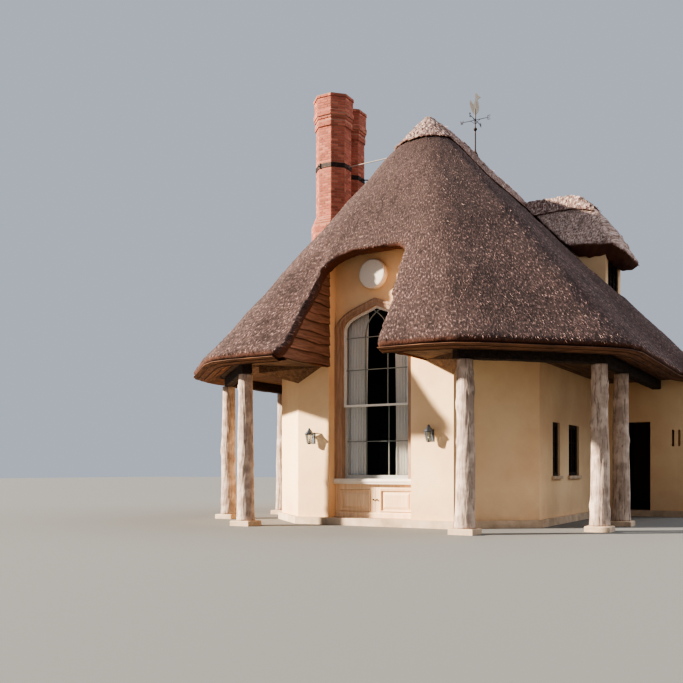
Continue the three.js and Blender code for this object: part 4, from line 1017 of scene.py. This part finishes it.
for side, cloth in curtains.items():
    s = np.linspace(0, 1, drape["across"])[None, :]
    d = np.linspace(0, 1, drape["down"])[:, None]
    inner = cloth["inner"] + cloth["swing"] * (1 - d) ** 2
    x = cloth["outer"] + (inner - cloth["outer"]) * s
    top = np.minimum(archHeight(x), drape["headTop"])
    z = top + (drape["hem"] - top) * d
    depth = drape["shallow"] + (drape["deep"] - drape["shallow"]) * d ** 0.6
    phase = 2 * np.pi * cloth["folds"] * s + cloth["seed"] + 0.7 * np.sin(2.2 * d + 3 * s + cloth["seed"])
    y = drape["y"] + depth * (np.sin(phase) + 0.25 * np.sin(2.1 * phase + 1))
    x = x + drape["sideways"] * np.cos(phase) * d
    grid = np.stack([x, y + 0 * z, z], -1)
    run = np.linalg.norm(np.diff(grid, axis=1), axis=2)
    u = np.concatenate([np.zeros((drape["down"], 1)), np.cumsum(run, 1)], 1)
    drop = np.linalg.norm(np.diff(grid, axis=0), axis=2)
    v = np.concatenate([np.zeros((1, drape["across"])), np.cumsum(drop, 0)], 0)
    curtain = newPiece("curtain_" + side + "_cloth", grid.reshape(-1, 3),
                       gridFaces(drape["down"], drape["across"]), curtainCotton, "curtain_cloth", smooth=True,
                       flow=np.stack([u, v], -1).reshape(-1, 2))
    thicken = curtain.modifiers.new("cloth", "SOLIDIFY")
    thicken.thickness = drape["thick"]
    thicken.offset = 0.0
    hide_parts("curtain_" + side)


# Posts: whole trunks stripped of their branches. A trunk is rings about a spine that sways a little:
# radius = taper * (1 + furrows round the trunk that drift as they rise + lumps), with healed knots on it.
trunkLook = {"foot": 0.105, "top": 3.069, "footRadius": 0.176, "topRadius": 0.142, "flare": 0.012,
             "sides": 72, "levels": 92, "furrows": 15, "furrowDepth": 0.035, "lump": 0.03, "crumb": 0.020,
             "sway": 0.016, "knots": 9, "knotSize": 0.075, "knotHigh": 0.028, "knotHollow": 0.02,
             "knotSpan": 2.96}
# Each trunk stands on a square stone pad, given by how far its edge draws in at each height
padLook = {"half": 0.228, "levels": ((0.0, 0.0), (0.0, 0.085), (0.006, 0.097), (0.02, 0.104), (0.228, 0.109))}
postPlaces = {
    "front_right": (2.44, -3.87), "corner_right": (4.32, -1.985), "side_right": (4.32, -0.15),
    "front_left": (-2.31, -3.87), "corner_left": (-4.19, -1.985), "side_left": (-4.19, 0.27),
}
for number, (name, (x, y)) in enumerate(postPlaces.items()):
    rng = np.random.default_rng(60 + number)
    look = trunkLook
    t = np.linspace(0, 1, look["levels"])[:, None]
    angle = np.linspace(0, 2 * np.pi, look["sides"], endpoint=False)[None, :]
    z = look["foot"] + (look["top"] - look["foot"]) * t
    taper = look["footRadius"] + (look["topRadius"] - look["footRadius"]) * t
    taper = taper + look["flare"] * np.exp(-(t / 0.05) ** 2)
    drift = 0.5 * np.sin(2.6 * t + number) + 0.25 * np.sin(7.0 * t + 2 * number)
    ridge = np.abs(np.sin(look["furrows"] / 2 * (angle + drift) + 1.2 * np.sin(9 * t + 2 * angle + number)))
    skin = np.stack([np.cos(angle) + 0 * t, np.sin(angle) + 0 * t, 2.2 * t + 0 * angle], -1).reshape(-1, 3)
    lumps = waves(skin, 0.9, 70 + number).reshape(len(t), -1)
    crumbs = waves(skin * [1, 1, 0.5], 0.22, 80 + number, 14).reshape(len(t), -1)
    radius = taper * (1 + look["furrowDepth"] * (ridge ** 0.7 - 0.8) + look["lump"] * lumps
                      + look["crumb"] * crumbs)
    for _ in range(look["knots"]):
        knotAngle, knotT = rng.uniform(0, 2 * np.pi), rng.uniform(0.06, 0.92)
        turn = (angle - knotAngle + np.pi) % (2 * np.pi) - np.pi
        apart = np.hypot(turn * taper, (t - knotT) * look["knotSpan"])
        size = look["knotSize"] * rng.uniform(0.7, 1.2)
        radius = radius + look["knotHigh"] * np.exp(-(apart / size) ** 2)
        radius = radius - look["knotHollow"] * np.exp(-(apart / size * 2.6) ** 2)
    sway = look["sway"] * np.sin(np.pi * t)
    cx = x + sway * np.sin(3.1 * t + number)
    cy = y + sway * np.cos(2.3 * t + number * 1.7)
    grid = np.stack([cx + radius * np.cos(angle), cy + radius * np.sin(angle), z + 0 * angle], -1)
    shape = closedTube(grid, [(x, y, look["foot"]), (x, y, look["top"])])
    trunk = newPiece("trunk_" + name, *shape, bark, "bark", smooth=True)
    square = np.array([(-1, -1), (1, -1), (1, 1), (-1, 1)])
    pad = np.concatenate([np.column_stack([square * (padLook["half"] - inset) + [x, y], np.full(4, level)])
                          for inset, level in padLook["levels"]])
    stone = newPiece("pad_" + name, pad, [gridFaces(5, 4, False, True), np.array([[3, 2, 1, 0]])], limestone,
                     "stone")
    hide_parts("post_" + name)
    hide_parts("post_" + name)
print("posts done")


# Beams: squared with an axe, so each face is a row of shallow scoops. A rectangle is carried along the line
# of the posts, with its corners rounded and its faces pushed in by a wave.
beamLook = {"half": 0.108, "low": 3.072, "high": 3.288, "step": 0.06, "scoop": 0.012, "scoopSize": 0.4,
            "soft": 0.86, "across": 7}


def hewnBeam(line, seed):
    line = np.array(line, float)
    at = np.concatenate([[0], np.cumsum(np.linalg.norm(np.diff(line, axis=0), axis=1))])
    count = int(at[-1] / beamLook["step"])
    s = np.linspace(0, at[-1], count)
    spine = np.column_stack([np.interp(s, at, line[:, 0]), np.interp(s, at, line[:, 1])])
    along = headings(spine)
    side = np.column_stack([along[:, 1], -along[:, 0], np.zeros(count)])
    path = np.column_stack([spine, np.full(count, (beamLook["low"] + beamLook["high"]) / 2)])
    halves = np.array([beamLook["half"], (beamLook["high"] - beamLook["low"]) / 2])
    u = np.linspace(-1, 1, beamLook["across"]) * beamLook["soft"]
    edge = np.ones(len(u))
    sides = ((u, -edge), (edge, u), (-u, edge), (-edge, -u))
    ring = np.concatenate([np.column_stack(pair) for pair in sides])
    sized = ring * halves
    points = path[:, None] + side[:, None] * sized[:, :1] + np.array([0, 0, 1.0]) * sized[:, 1:]
    scoops = 0.5 + 0.5 * waves(points.reshape(-1, 3), beamLook["scoopSize"], seed, 9)
    scoops = scoops.reshape(count, -1) * beamLook["scoop"]
    return carried(path, side, [0, 0, 1.0], sized * (1 - scoops / halves[0])[..., None])


beamLines = {
    "right": [(2.306, -4.004), (4.32, -1.985), (4.32, 3.745)],
    "left": [(-2.176, -4.004), (-4.19, -1.985), (-4.19, 3.745)],
}
for number, (hand, line) in enumerate(beamLines.items()):
    beam = newPiece("hewn_beam_" + hand, *hewnBeam(line, 90 + number), darkOak, "dark_timber", outward=True)
    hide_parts("beam_" + hand)


# Boards under the veranda roof: planed boards with a small gap, each at its own height. They run along the
# walls. Each stretch is given by the ends of its inner line, those of its outer line, and a number of boards.
boardLook = {"wide": 0.145, "gap": 0.012, "thick": 0.012, "z": 3.2885, "uneven": 0.006}


def soffitBoards(inner, outer, rowCount, seed):
    rng = np.random.default_rng(seed)
    inner, outer = np.array(inner, float), np.array(outer, float)
    share = np.linspace(0, 1, rowCount + 1)
    shapes = []
    for a, b in zip(share[:-1], share[1:]):
        trimmed = (b - a) * boardLook["gap"] / boardLook["wide"] / 2
        lowEdge = inner + (outer - inner) * (a + trimmed)
        highEdge = inner + (outer - inner) * (b - trimmed)
        z = boardLook["z"] - rng.uniform(0, boardLook["uneven"])
        plan = np.array([lowEdge[0], lowEdge[1], highEdge[1], highEdge[0]])
        levels = (z - boardLook["thick"], z)
        block = np.concatenate([np.column_stack([plan, np.full(4, level)]) for level in levels])
        faces = np.array([[0, 1, 5, 4], [1, 2, 6, 5], [2, 3, 7, 6], [3, 0, 4, 7], [3, 2, 1, 0], [4, 5, 6, 7]])
        shapes.append((block, faces))
    return together(shapes)


stretches = {
    "side_right": ([(3.05, -1.45), (3.05, 3.74)], [(4.20, -1.93), (4.20, 3.74)], 8),
    "cant_right": ([(1.80, -2.75), (3.05, -1.47)], [(2.50, -3.62), (4.15, -1.97)], 8),
    "side_left": ([(-3.05, 0.48), (-3.05, -1.45)], [(-4.06, 0.48), (-4.06, -1.95)], 7),
    "side_left_rear": ([(-3.05, 3.74), (-3.05, 2.62)], [(-4.06, 3.74), (-4.06, 2.62)], 7),
    "cant_left": ([(-3.05, -1.47), (-1.80, -2.75)], [(-4.05, -1.97), (-2.40, -3.62)], 8),
    "front_right": ([(1.24, -2.756), (1.79, -2.756)], [(1.24, -4.42), (2.30, -3.86)], 11),
    "front_left": ([(-1.79, -2.756), (-1.11, -2.756)], [(-2.17, -3.86), (-1.11, -4.42)], 11),
}
for number, (name, (inner, outer, rows)) in enumerate(stretches.items()):
    boards = soffitBoards(inner, outer, rows, 100 + number)
    newPiece("soffit_boards_" + name, *boards, ceilingBoards, "boarding", outward=True)


# Cheeks of the window gap: overlapping elm boards with their natural edge. Each board's lower edge is a wave,
# and its height overlaps the board under it. They fill the triangle under the thatch.
cheekLook = {"rows": 13, "foot": 3.262, "tall": 0.262, "lap": 0.055, "wave": 0.028, "front": -4.70,
             "back": -2.752, "slopeFoot": (-4.56, 3.30), "slopeTop": (-2.75, 5.44), "shortest": 0.12,
             "highest": 5.3, "roofClear": 0.03, "stations": 26, "waveSize": 0.8, "shade": 0.035,
             "backOut": 0.002, "lipOut": 0.046, "shadeOut": 0.022, "topOut": 0.012,
             "tones": (0, 0.25, 1.0, 0.85, 0, 0)}


# The board face lies at x where the height is zero, and leans by a share of the height. A ring of six corners
# per station: back, bottom, lip, shaded face, and the thin top under the next board.
def cheekBoards(x, lean, facing, seed):
    rng = np.random.default_rng(seed)
    look = cheekLook
    shapes, tones = [], []
    (y0, z0), (y1, z1) = look["slopeFoot"], look["slopeTop"]
    pitch = (z1 - z0) / (y1 - y0)
    step = look["tall"] - look["lap"]

    def edge(out, z):
        return np.column_stack([x + lean * z + facing * out, y, z])

    for row in range(look["rows"]):
        low = look["foot"] + row * step * rng.uniform(0.97, 1.03)
        start = max(look["front"], y0 + (low + 0.02 - z0) / pitch)
        if start > look["back"] - look["shortest"] or low > look["highest"]:
            continue
        y = np.linspace(start, look["back"], look["stations"])
        roofAt = z0 + (y - y0) * pitch - look["roofClear"]
        points = np.column_stack([y, 0 * y, 0 * y + row])
        bottom = low + look["wave"] * waves(points, look["waveSize"], seed + row, 5)
        top = np.maximum(np.minimum(low + look["tall"], roofAt), bottom + 0.004)
        shade = np.maximum(bottom + 0.02, top - look["shade"])
        ring = np.stack([edge(look["backOut"], bottom), edge(look["lipOut"] - 0.004, bottom),
                         edge(look["lipOut"], bottom + 0.012), edge(look["shadeOut"], shade),
                         edge(look["topOut"], top), edge(look["backOut"], top)], 1)
        shapes.append(closedBoard(ring))
        # Each corner's tone paints shade: dark at the back, under the lip and at the top under the next
        # board, full on the lip and face. Each board is also a little darker or lighter at random.
        tones.append(np.tile(look["tones"], len(ring)) * rng.uniform(0.8, 1.0))
    return *together(shapes), np.concatenate(tones)


# The left cheek stands upright. The right one leans from x at a low height to x at a high one, and its boards
# start a little outside that line. Both are boarded on their outer side too, past the thickness of the cheek.
rightLow, rightHigh = (1.19, 2.9), (0.88, 5.47)
leftFace, startOut, thickness = -1.02, 0.02, 0.03
rightLean = (rightHigh[0] - rightLow[0]) / (rightHigh[1] - rightLow[1])
rightFace = rightLow[0] - rightLean * rightLow[1] + startOut
cheekSides = {
    "left": (leftFace, 0, 1, 120), "right": (rightFace, rightLean, -1, 140),
    "left_outside": (leftFace - thickness, 0, -1, 160),
    "right_outside": (rightFace + thickness, rightLean, 1, 180),
}
for name, side in cheekSides.items():
    corners, faces, tone = cheekBoards(*side)
    newPiece("cheek_boards_" + name, corners, faces, waneyBoards, "boarding", outward=True,
             values={"tone": tone})


# Eave boards: lapped boards under the trimmed edge of the thatch, all round the house from one foot of the
# window gap to the other. Their line falls inwards from the rim to the lip, then rises to the beam. At each
# station a board is five corners: point on that line + downward normal * its distance from the line.
eaveLook = {"rim": 3.355, "edge": 3.272, "lip": 3.198, "foot": 3.10, "rimShare": 0.13, "inward": 0.36,
            "head": 3.285, "courses": (0.0, 0.5, 1.0, 1.5), "course": 0.5, "lap": 0.06, "thick": 0.016,
            "clear": 0.005, "wave": 0.02, "waveSize": 0.9, "shade": 0.12, "shadeOut": 0.008,
            "endFace": 0.003, "endBack": -0.002, "gapLeft": -1.04, "gapRight": 1.16, "step": 0.11,
            "tones": (0.2, 1.0, 0.9, 0.0, 0.0), "grainAcross": (0, 0, 0.1, 0.12, 0.12), "grainApart": 7.0}

# The rim and the foot of the thatch's edge are read from its CAD mesh: corners within a few millimetres of
# two levels. The window gap is left out, and the rest goes round a middle point from the gap's right side.
edgeCorners = {"within": 0.003, "gapHalf": 1.2, "startUpTo": 1.4, "middleY": 3.0}
corners = np.array([corner.co[:] for corner in nodes["main_thatch"].data.vertices])
rim, low = (corners[np.abs(corners[:, 2] - eaveLook[level]) < edgeCorners["within"]]
            for level in ("rim", "foot"))
rim = np.unique(np.round(rim, 3), axis=0)
rim = rim[(np.abs(rim[:, 0]) >= edgeCorners["gapHalf"]) | (rim[:, 1] >= 0)]
rim = rim[np.argsort(np.arctan2(rim[:, 0], rim[:, 1] - edgeCorners["middleY"]))[::-1]]
low = low[np.argmin(np.linalg.norm(low[None, :, :2] - rim[:, None, :2], axis=2), axis=1)]
inStart = (rim[:, 0] > edgeCorners["gapHalf"]) & (rim[:, 0] < edgeCorners["startUpTo"]) & (rim[:, 1] < 0)
startAt = int(np.argmax(inStart))
rim, low = (np.roll(ring[:, :2], -startAt, axis=0) for ring in (rim, low))
gapRight, gapLeft = eaveLook["gapRight"], eaveLook["gapLeft"]
outerLine, innerLine = (np.vstack([(gapRight, line[0][1]), line, (gapLeft, line[-1][1])])
                        for line in (rim, low))
run = np.concatenate([[0], np.cumsum(np.linalg.norm(np.diff(outerLine, axis=0), axis=1))])
stations = np.linspace(0, run[-1], int(run[-1] / eaveLook["step"]))
outerAt, innerAt = (np.column_stack([np.interp(stations, run, line[:, i]) for i in (0, 1)])
                    for line in (outerLine, innerLine))
slope = innerAt - outerAt
inward = slope / np.linalg.norm(slope, axis=1)[:, None]
rimAt = np.column_stack([outerAt + slope * eaveLook["rimShare"], np.full(len(outerAt), eaveLook["edge"])])
lipAt = np.column_stack([innerAt, np.full(len(outerAt), eaveLook["lip"])])
headAt = np.column_stack([innerAt + inward * eaveLook["inward"], np.full(len(outerAt), eaveLook["head"])])


# A point on the boards' line: 0 is the rim, 1 the lip and 2 the head at the beam
def onLine(share):
    share = share[:, None]
    return np.where(share < 1, rimAt + (lipAt - rimAt) * share, lipAt + (headAt - lipAt) * (share - 1))


# The downward normal of that line, which has one direction up to the lip and another one behind it
def downward(share):
    stretch = lipAt - rimAt if share < 1 else headAt - lipAt
    wide, fall = np.linalg.norm(stretch[:, :2], axis=1)[:, None], stretch[:, 2:]
    return np.hstack([inward * fall, -wide]) / np.hypot(fall, wide)


shapes, tones, flows = [], [], []
for number, start in enumerate(eaveLook["courses"]):
    points = np.column_stack([stations, 0 * stations, 0 * stations + number])
    first = np.full(len(stations), start)
    second = start + eaveLook["course"] + eaveLook["lap"]
    second = second + eaveLook["wave"] * waves(points, eaveLook["waveSize"], 200 + number, 6)
    n = downward(start)
    back, face = eaveLook["clear"], eaveLook["clear"] + eaveLook["thick"]
    grid = np.stack([onLine(first) + n * back, onLine(first) + n * face,
                     onLine(second - eaveLook["shade"]) + n * (back + eaveLook["shadeOut"]),
                     onLine(second) + n * (back + eaveLook["endFace"]),
                     onLine(second) + n * (back + eaveLook["endBack"])], 1)
    shapes.append(closedBoard(grid))
    # Each corner's tone paints shade: dark on the board's back and at its far end, where it laps the next
    # board, full on its face.
    tones.append(np.tile(eaveLook["tones"], len(grid)))
    flows.append(np.column_stack([np.repeat(stations, 5) + eaveLook["grainApart"] * number,
                                  np.tile(eaveLook["grainAcross"], len(grid))]))
newPiece("eave_boards", *together(shapes), eaveBoards, "boarding", outward=True, flow=np.concatenate(flows),
         values={"tone": np.concatenate(tones)})
print("veranda done")


# Small windows: an oak frame set back in its opening, with thin glazing bars, a mullion where there are two
# lights, a dark pane close behind, and a stone sill. The wall faces along one axis; the other is sideways.
smallWindows = {
    "casement_right": {"axis": 0, "face": 3.04, "out": 1, "from": -0.56, "to": -0.04, "lights": 1},
    "two_light_right": {"axis": 0, "face": 3.04, "out": 1, "from": 0.66, "to": 1.50, "lights": 2},
    "casement_left": {"axis": 0, "face": -3.04, "out": -1, "from": -0.56, "to": -0.04, "lights": 1},
    "rear_left": {"axis": 0, "face": -3.04, "out": -1, "from": 2.76, "to": 3.28, "lights": 1},
    "rear_part_right": {"axis": 0, "face": 4.95, "out": 1, "from": 5.60, "to": 6.44, "lights": 2},
    "rear_part_left": {"axis": 0, "face": -4.95, "out": -1, "from": 5.60, "to": 6.44, "lights": 2},
    "back_right": {"axis": 1, "face": 9.60, "out": 1, "from": 1.50, "to": 2.34, "lights": 2},
    "back_left": {"axis": 1, "face": 9.60, "out": 1, "from": -2.34, "to": -1.50, "lights": 2},
}
windowLook = {"low": 1.0, "high": 2.12, "stile": 0.05, "mullion": 0.06, "leaf": 0.03, "bar": 0.016,
              "deep": 0.045, "leafDeep": 0.032, "barDeep": 0.02, "rowDeep": 0.018, "setBack": 0.07, "rows": 3,
              "play": 0.003, "rebate": 0.02, "paneDeep": 0.004, "sillTall": 0.07, "sillOut": 0.055,
              "sillIn": 0.095, "sillOver": 0.08, "sillRaise": 0.006, "sillWorn": 0.008}


# A cuboid by its middle and depth across one axis, its two ends along the other, and its two heights
def slab(axis, across, deep, side0, side1, z0, z1):
    middle, half = [0, 0, (z0 + z1) / 2], [0, 0, (z1 - z0) / 2]
    middle[axis], half[axis] = across, deep / 2
    middle[1 - axis], half[1 - axis] = (side0 + side1) / 2, (side1 - side0) / 2
    return middle, half


# Stiles and rails, then for each light its mullion, the four sides of its leaf, and its bars
def glazedFrame(window, look):
    side0, side1 = window["from"] + look["play"], window["to"] - look["play"]
    low, high = look["low"] + look["play"], look["high"] - look["play"]
    stile, leaf, bar = look["stile"], look["leaf"], look["bar"]
    foot, head = low + stile, high - stile
    parts = [(look["deep"], side0, side1, low, foot),
             (look["deep"], side0, side1, head, high),
             (look["deep"], side0, side0 + stile, foot, head),
             (look["deep"], side1 - stile, side1, foot, head)]
    lights = window["lights"]
    clear = (side1 - side0 - 2 * stile - (lights - 1) * look["mullion"]) / lights
    for light in range(lights):
        left = side0 + stile + light * (clear + look["mullion"])
        right, middle = left + clear, left + clear / 2
        if light:
            parts.append((look["deep"], left - look["mullion"], left, foot, head))
        parts += [(look["leafDeep"], left, left + leaf, foot, head),
                  (look["leafDeep"], right - leaf, right, foot, head),
                  (look["leafDeep"], left + leaf, right - leaf, foot, foot + leaf),
                  (look["leafDeep"], left + leaf, right - leaf, head - leaf, head),
                  (look["barDeep"], middle - bar / 2, middle + bar / 2, foot + leaf, head - leaf)]
        for row in range(1, look["rows"]):
            z = foot + (head - foot) * row / look["rows"]
            parts.append((look["rowDeep"], left + leaf, right - leaf, z - bar / 2, z + bar / 2))
    plane = window["face"] - window["out"] * look["setBack"]
    return cuboids(*zip(*[slab(window["axis"], plane, *part) for part in parts]))


frames, sills, panes = [], [], []
look = windowLook
for w in smallWindows.values():
    frames.append(glazedFrame(w, look))
    behind = w["face"] - w["out"] * (look["setBack"] + look["paneDeep"])
    inset, over = look["rebate"], look["sillOver"]
    panes.append(cuboids(*slab(w["axis"], behind, look["paneDeep"], w["from"] + inset, w["to"] - inset,
                               look["low"] + inset, look["high"] - inset)))
    middle = w["face"] + w["out"] * (look["sillOut"] - look["sillIn"]) / 2
    sillTop = look["low"] + look["sillRaise"]
    sills.append(cuboids(*slab(w["axis"], middle, look["sillOut"] + look["sillIn"], w["from"] - over,
                               w["to"] + over, sillTop - look["sillTall"], sillTop)))
newPiece("small_window_frames", *together(frames), darkOak, "dark_timber", outward=True)
newPiece("small_window_panes", *together(panes), roomGlass, "pane_glass", outward=True)
sillPiece = newPiece("small_window_sills", *together(sills), limestone, "stone", outward=True)
rounded = sillPiece.modifiers.new("worn", "BEVEL")
rounded.width = look["sillWorn"]
rounded.segments = 2

# Dormer window: thin bars in its three lights, and a moulded sill board under the frame
dormer = {"x": 2.885, "low": 5.9, "high": 6.61, "from": 4.78, "to": 5.98, "stile": 0.06, "lights": 3,
          "rows": 3, "barDeep": 0.012, "barWide": 0.009, "barShort": 0.055, "rowDeep": 0.011,
          "rowOver": 0.003, "sillX": 2.952, "sillZ": 5.885, "sillEnds": (4.68, 6.08)}
tall = dormer["high"] - dormer["low"]
pitch = (dormer["to"] - dormer["from"] - dormer["stile"]) / dormer["lights"]
clear = pitch - dormer["stile"]
middles, halves = [], []
for light in range(dormer["lights"]):
    centre = dormer["from"] + dormer["stile"] + light * pitch + clear / 2
    middles.append((dormer["x"], centre, dormer["low"] + tall / 2))
    halves.append((dormer["barDeep"], dormer["barWide"], tall / 2 - dormer["barShort"]))
    for row in range(1, dormer["rows"]):
        z = dormer["low"] + dormer["stile"] + (tall - 2 * dormer["stile"]) * row / dormer["rows"]
        middles.append((dormer["x"], centre, z))
        halves.append((dormer["rowDeep"], clear / 2 + dormer["rowOver"], dormer["barWide"]))
newPiece("dormer_bars", *cuboids(middles, halves), darkOak, "dark_timber", outward=True)
sillPath = np.array([(dormer["sillX"], y, dormer["sillZ"]) for y in dormer["sillEnds"]])
sillProfile = [(0.0, -0.045), (0.05, -0.045), (0.075, -0.03), (0.075, -0.01), (0.0, 0.012)]
newPiece("dormer_sill", *carried(sillPath, [1.0, 0, 0], [0, 0, 1.0], sillProfile), darkOak, "dark_timber",
         outward=True)

# Roundel: a thick plain plaster disc on the gable, with a rounded edge and a face that swells a little. It is
# turned about an upright axis and then laid against the wall, so its height becomes its way forwards.
roundelPlace = {"x": -0.0975, "wall": -2.4345, "z": 5.125}
roundelProfile = [(0.0, 0.0), (0.298, 0.0), (0.300, 0.02), (0.300, 0.126), (0.297, 0.140), (0.290, 0.151),
                  (0.278, 0.157), (0.25, 0.160), (0.15, 0.164), (0.0, 0.167)]
corners, faces = turnedShape(roundelProfile, (0, 0, 0), 96)
corners = np.column_stack([corners[:, 0] + roundelPlace["x"], roundelPlace["wall"] - corners[:, 2],
                           corners[:, 1] + roundelPlace["z"]])
disc = newPiece("roundel_moulding", corners, faces, whitePlaster, "white_plaster", smooth=True, outward=True)
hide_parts("roundel")


# Wall lanterns: six-sided, with a wall plate and arm, thin corner bars, glass, a candle and a stepped cap.
# All heights are measured up from the foot of the lantern, and each profile is of radius and height. The
# wall plate is two plates, each given by its way forwards and its half sizes.
lantern = {"y": -2.90, "z": 1.66, "places": {"left": -1.395, "right": 1.31}, "plateY": -2.757,
           "foot": [(0, 0.0), (0.018, 0.0), (0.026, 0.008), (0.040, 0.012), (0.052, 0.022), (0.052, 0.030),
                    (0.0, 0.030)],
           "cap": [(0, 0.196), (0.082, 0.196), (0.086, 0.204), (0.104, 0.208), (0.092, 0.222), (0.062, 0.258),
                   (0.040, 0.282), (0.034, 0.300), (0.022, 0.304), (0.024, 0.320), (0.014, 0.334),
                   (0.0, 0.344)],
           "glass": [(0, 0.031), (0.041, 0.031), (0.071, 0.195), (0, 0.195)],
           "candle": [(0, 0.032), (0.013, 0.032), (0.013, 0.10), (0.006, 0.108), (0.0, 0.125)],
           "barLow": (0.047, 0.028), "barHigh": (0.078, 0.198), "barRadius": 0.0045, "armRadius": 0.009,
           "plates": ((0.0, (0.045, 0.0062, 0.115)), (0.004, (0.035, 0.0062, 0.103))), "plateMiddle": 0.135,
           "armStart": 0.008, "armReach": 0.135, "armFoot": 0.235, "armBow": 0.055, "armRise": 0.03}
lanternGlass = finish("old_lantern_glass", "#cfd6d4", 0.12, **{"IOR": 1.5, "Transmission Weight": 0.9})[0]
candleWax = finish("candle_tube", "#e6dcc4", 0.6)[0]
turn = np.pi / 6
for hand, x in lantern["places"].items():
    y, z = lantern["y"], lantern["z"]
    shapes = [
        turnedShape(lantern["foot"], (x, y, z), 6, turn), turnedShape(lantern["cap"], (x, y, z), 6, turn),
        *(cuboids([(x, lantern["plateY"] - forwards, z + lantern["plateMiddle"])], half)
          for forwards, half in lantern["plates"]),
    ]
    for a in np.arange(6) * np.pi / 3 + turn:
        corners = (lantern["barLow"], lantern["barHigh"])
        bar = [(x + r * math.cos(a), y + r * math.sin(a), z + h) for r, h in corners]
        shapes.append(rod(bar, lantern["barRadius"], 5))
    t = np.linspace(0, 1, 14)
    forwards = lantern["plateY"] - lantern["armStart"] - lantern["armReach"] * np.sin(t * np.pi / 2)
    bow = z + lantern["armFoot"] + lantern["armBow"] * np.sin(t * np.pi) + lantern["armRise"] * t
    shapes.append(rod(np.column_stack([np.full(len(t), x), forwards, bow]), lantern["armRadius"], 8))
    body = newPiece("lantern_metal_" + hand, *together(shapes), leadGrey, "lantern_metal", outward=True)
    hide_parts("lantern_" + hand)
    pane = turnedShape(lantern["glass"], (x, y, z), 6, turn)
    newPiece("lantern_glass_" + hand, *pane, lanternGlass, "pane_glass", outward=True)
    candle = turnedShape(lantern["candle"], (x, y, z), 12)
    newPiece("lantern_candle_" + hand, *candle, candleWax, "lantern_metal", smooth=True, outward=True)
print("windows and lanterns done")


# Weathervane. The mast and its four arms stand still, with a letter on each; the bird turns on the spindle.
vane = {"y": 2.94, "arms": 10.19, "reach": 0.335, "armRadius": 0.0065, "letterTall": 0.098,
        "letterWide": 0.074, "stroke": 0.0062, "curlRadius": 0.0045, "curlDrop": 0.10, "ballZ": 9.95,
        "ballRadius": 0.044, "ribRadius": 0.0035, "plate": 0.0062, "curlStart": 0.02, "curlReach": 0.15,
        "eyeX": 0.052, "eyeZ": 10.795, "eyeOut": (0.004, 0.009), "eyeRadius": 0.008}
# Each letter is drawn by strokes through points that go from 0 to 1 across and up
letters = {
    "N": [[(0, 0), (0, 1), (1, 0), (1, 1)]],
    "E": [[(1, 0), (0, 0), (0, 1), (1, 1)], [(0, 0.5), (0.8, 0.5)]],
    "W": [[(0, 1), (0.25, 0), (0.5, 0.8), (0.75, 0), (1, 1)]],
    "S": [[(1, 0.85), (0.75, 1), (0.25, 1), (0, 0.78), (0.2, 0.55), (0.8, 0.45), (1, 0.22), (0.75, 0),
           (0.25, 0), (0, 0.15)]],
}
compass = {"N": (0, 1), "S": (0, -1), "E": (1, 0), "W": (-1, 0)}
hub = np.array([0, vane["y"], vane["arms"]])
shapes = []
for letter, (dx, dy) in compass.items():
    way, wide = np.array([dx, dy, 0.0]), np.array([abs(dx), abs(dy), 0.0])
    centre = hub + way * (vane["reach"] + vane["letterWide"] / 2)
    for stroke in letters[letter]:
        points = np.array(stroke, float) - 0.5
        line = (centre + points[:, :1] * vane["letterWide"] * wide
                + points[:, 1:] * vane["letterTall"] * np.array([0, 0, 1.0]))
        shapes += [rod([a, b], vane["stroke"], 5) for a, b in zip(line[:-1], line[1:])]
    shapes.append(rod([hub, hub + way * vane["reach"]], vane["armRadius"], 8))
    t = np.linspace(0, 1, 16)[:, None]
    curl = hub + way * (vane["curlStart"] + vane["curlReach"] * t)
    shapes.append(rod(curl - np.array([0, 0, vane["curlDrop"]]) * (1 - t) ** 2, vane["curlRadius"], 6))
polar = np.linspace(-np.pi / 2, np.pi / 2, 15)
ball = np.column_stack([np.cos(polar), np.sin(polar)]) * vane["ballRadius"] + [0, vane["ballZ"]]
mast = [(0, 9.10), (0.075, 9.10), (0.075, 9.26), (0.062, 9.30), (0.030, 9.37), (0.021, 9.40), (0.017, 9.42),
        (0.016, 9.90), (0.0, 9.90)]
spindle = [(0, 9.89), (0.012, 9.89), (0.012, 10.17), (0.020, 10.18), (0.020, 10.20), (0.012, 10.21),
           (0.007, 10.22), (0.007, 10.45), (0, 10.45)]
shapes += [turnedShape(profile, (0, vane["y"], 0), 24) for profile in (mast, spindle, ball)]
mastPiece = newPiece("vane_mast_iron", *together(shapes), forgedIron, "wrought_iron", outward=True)
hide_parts("vane_mast")

# The bird: its CAD plate turns, with quill ribs and an eye raised on both faces. Each rib is a curve in x and
# z: corner = (1-t)^2 a + 2 (1-t) t b + t^2 c.
feathers = [((-0.03, 10.40), (-0.10, 10.50), (-0.145, 10.68)),
            ((-0.01, 10.40), (-0.075, 10.50), (-0.11, 10.66)),
            ((0.02, 10.40), (-0.045, 10.50), (-0.07, 10.62)),
            ((0.055, 10.44), (0.03, 10.54), (0.02, 10.66)),
            ((0.075, 10.48), (0.06, 10.56), (0.045, 10.66))]
t = np.linspace(0, 1, 10)[:, None]
ribs = []
for a, b, c in feathers:
    curve = (1 - t) ** 2 * a + 2 * (1 - t) * t * b + t ** 2 * c
    for side in (-1, 1):
        line = np.column_stack([curve[:, 0], np.full(len(t), vane["y"] + side * vane["plate"]), curve[:, 1]])
        ribs.append(rod(line, vane["ribRadius"], 5))
for side in (-1, 1):
    eye = [(vane["eyeX"], vane["y"] + side * out, vane["eyeZ"]) for out in vane["eyeOut"]]
    ribs.append(rod(eye, vane["eyeRadius"], 10))
newPiece("vane_feather_ribs", *together(ribs), vaneMetal, "vane_metal", body="vane", outward=True)
print("vane done")
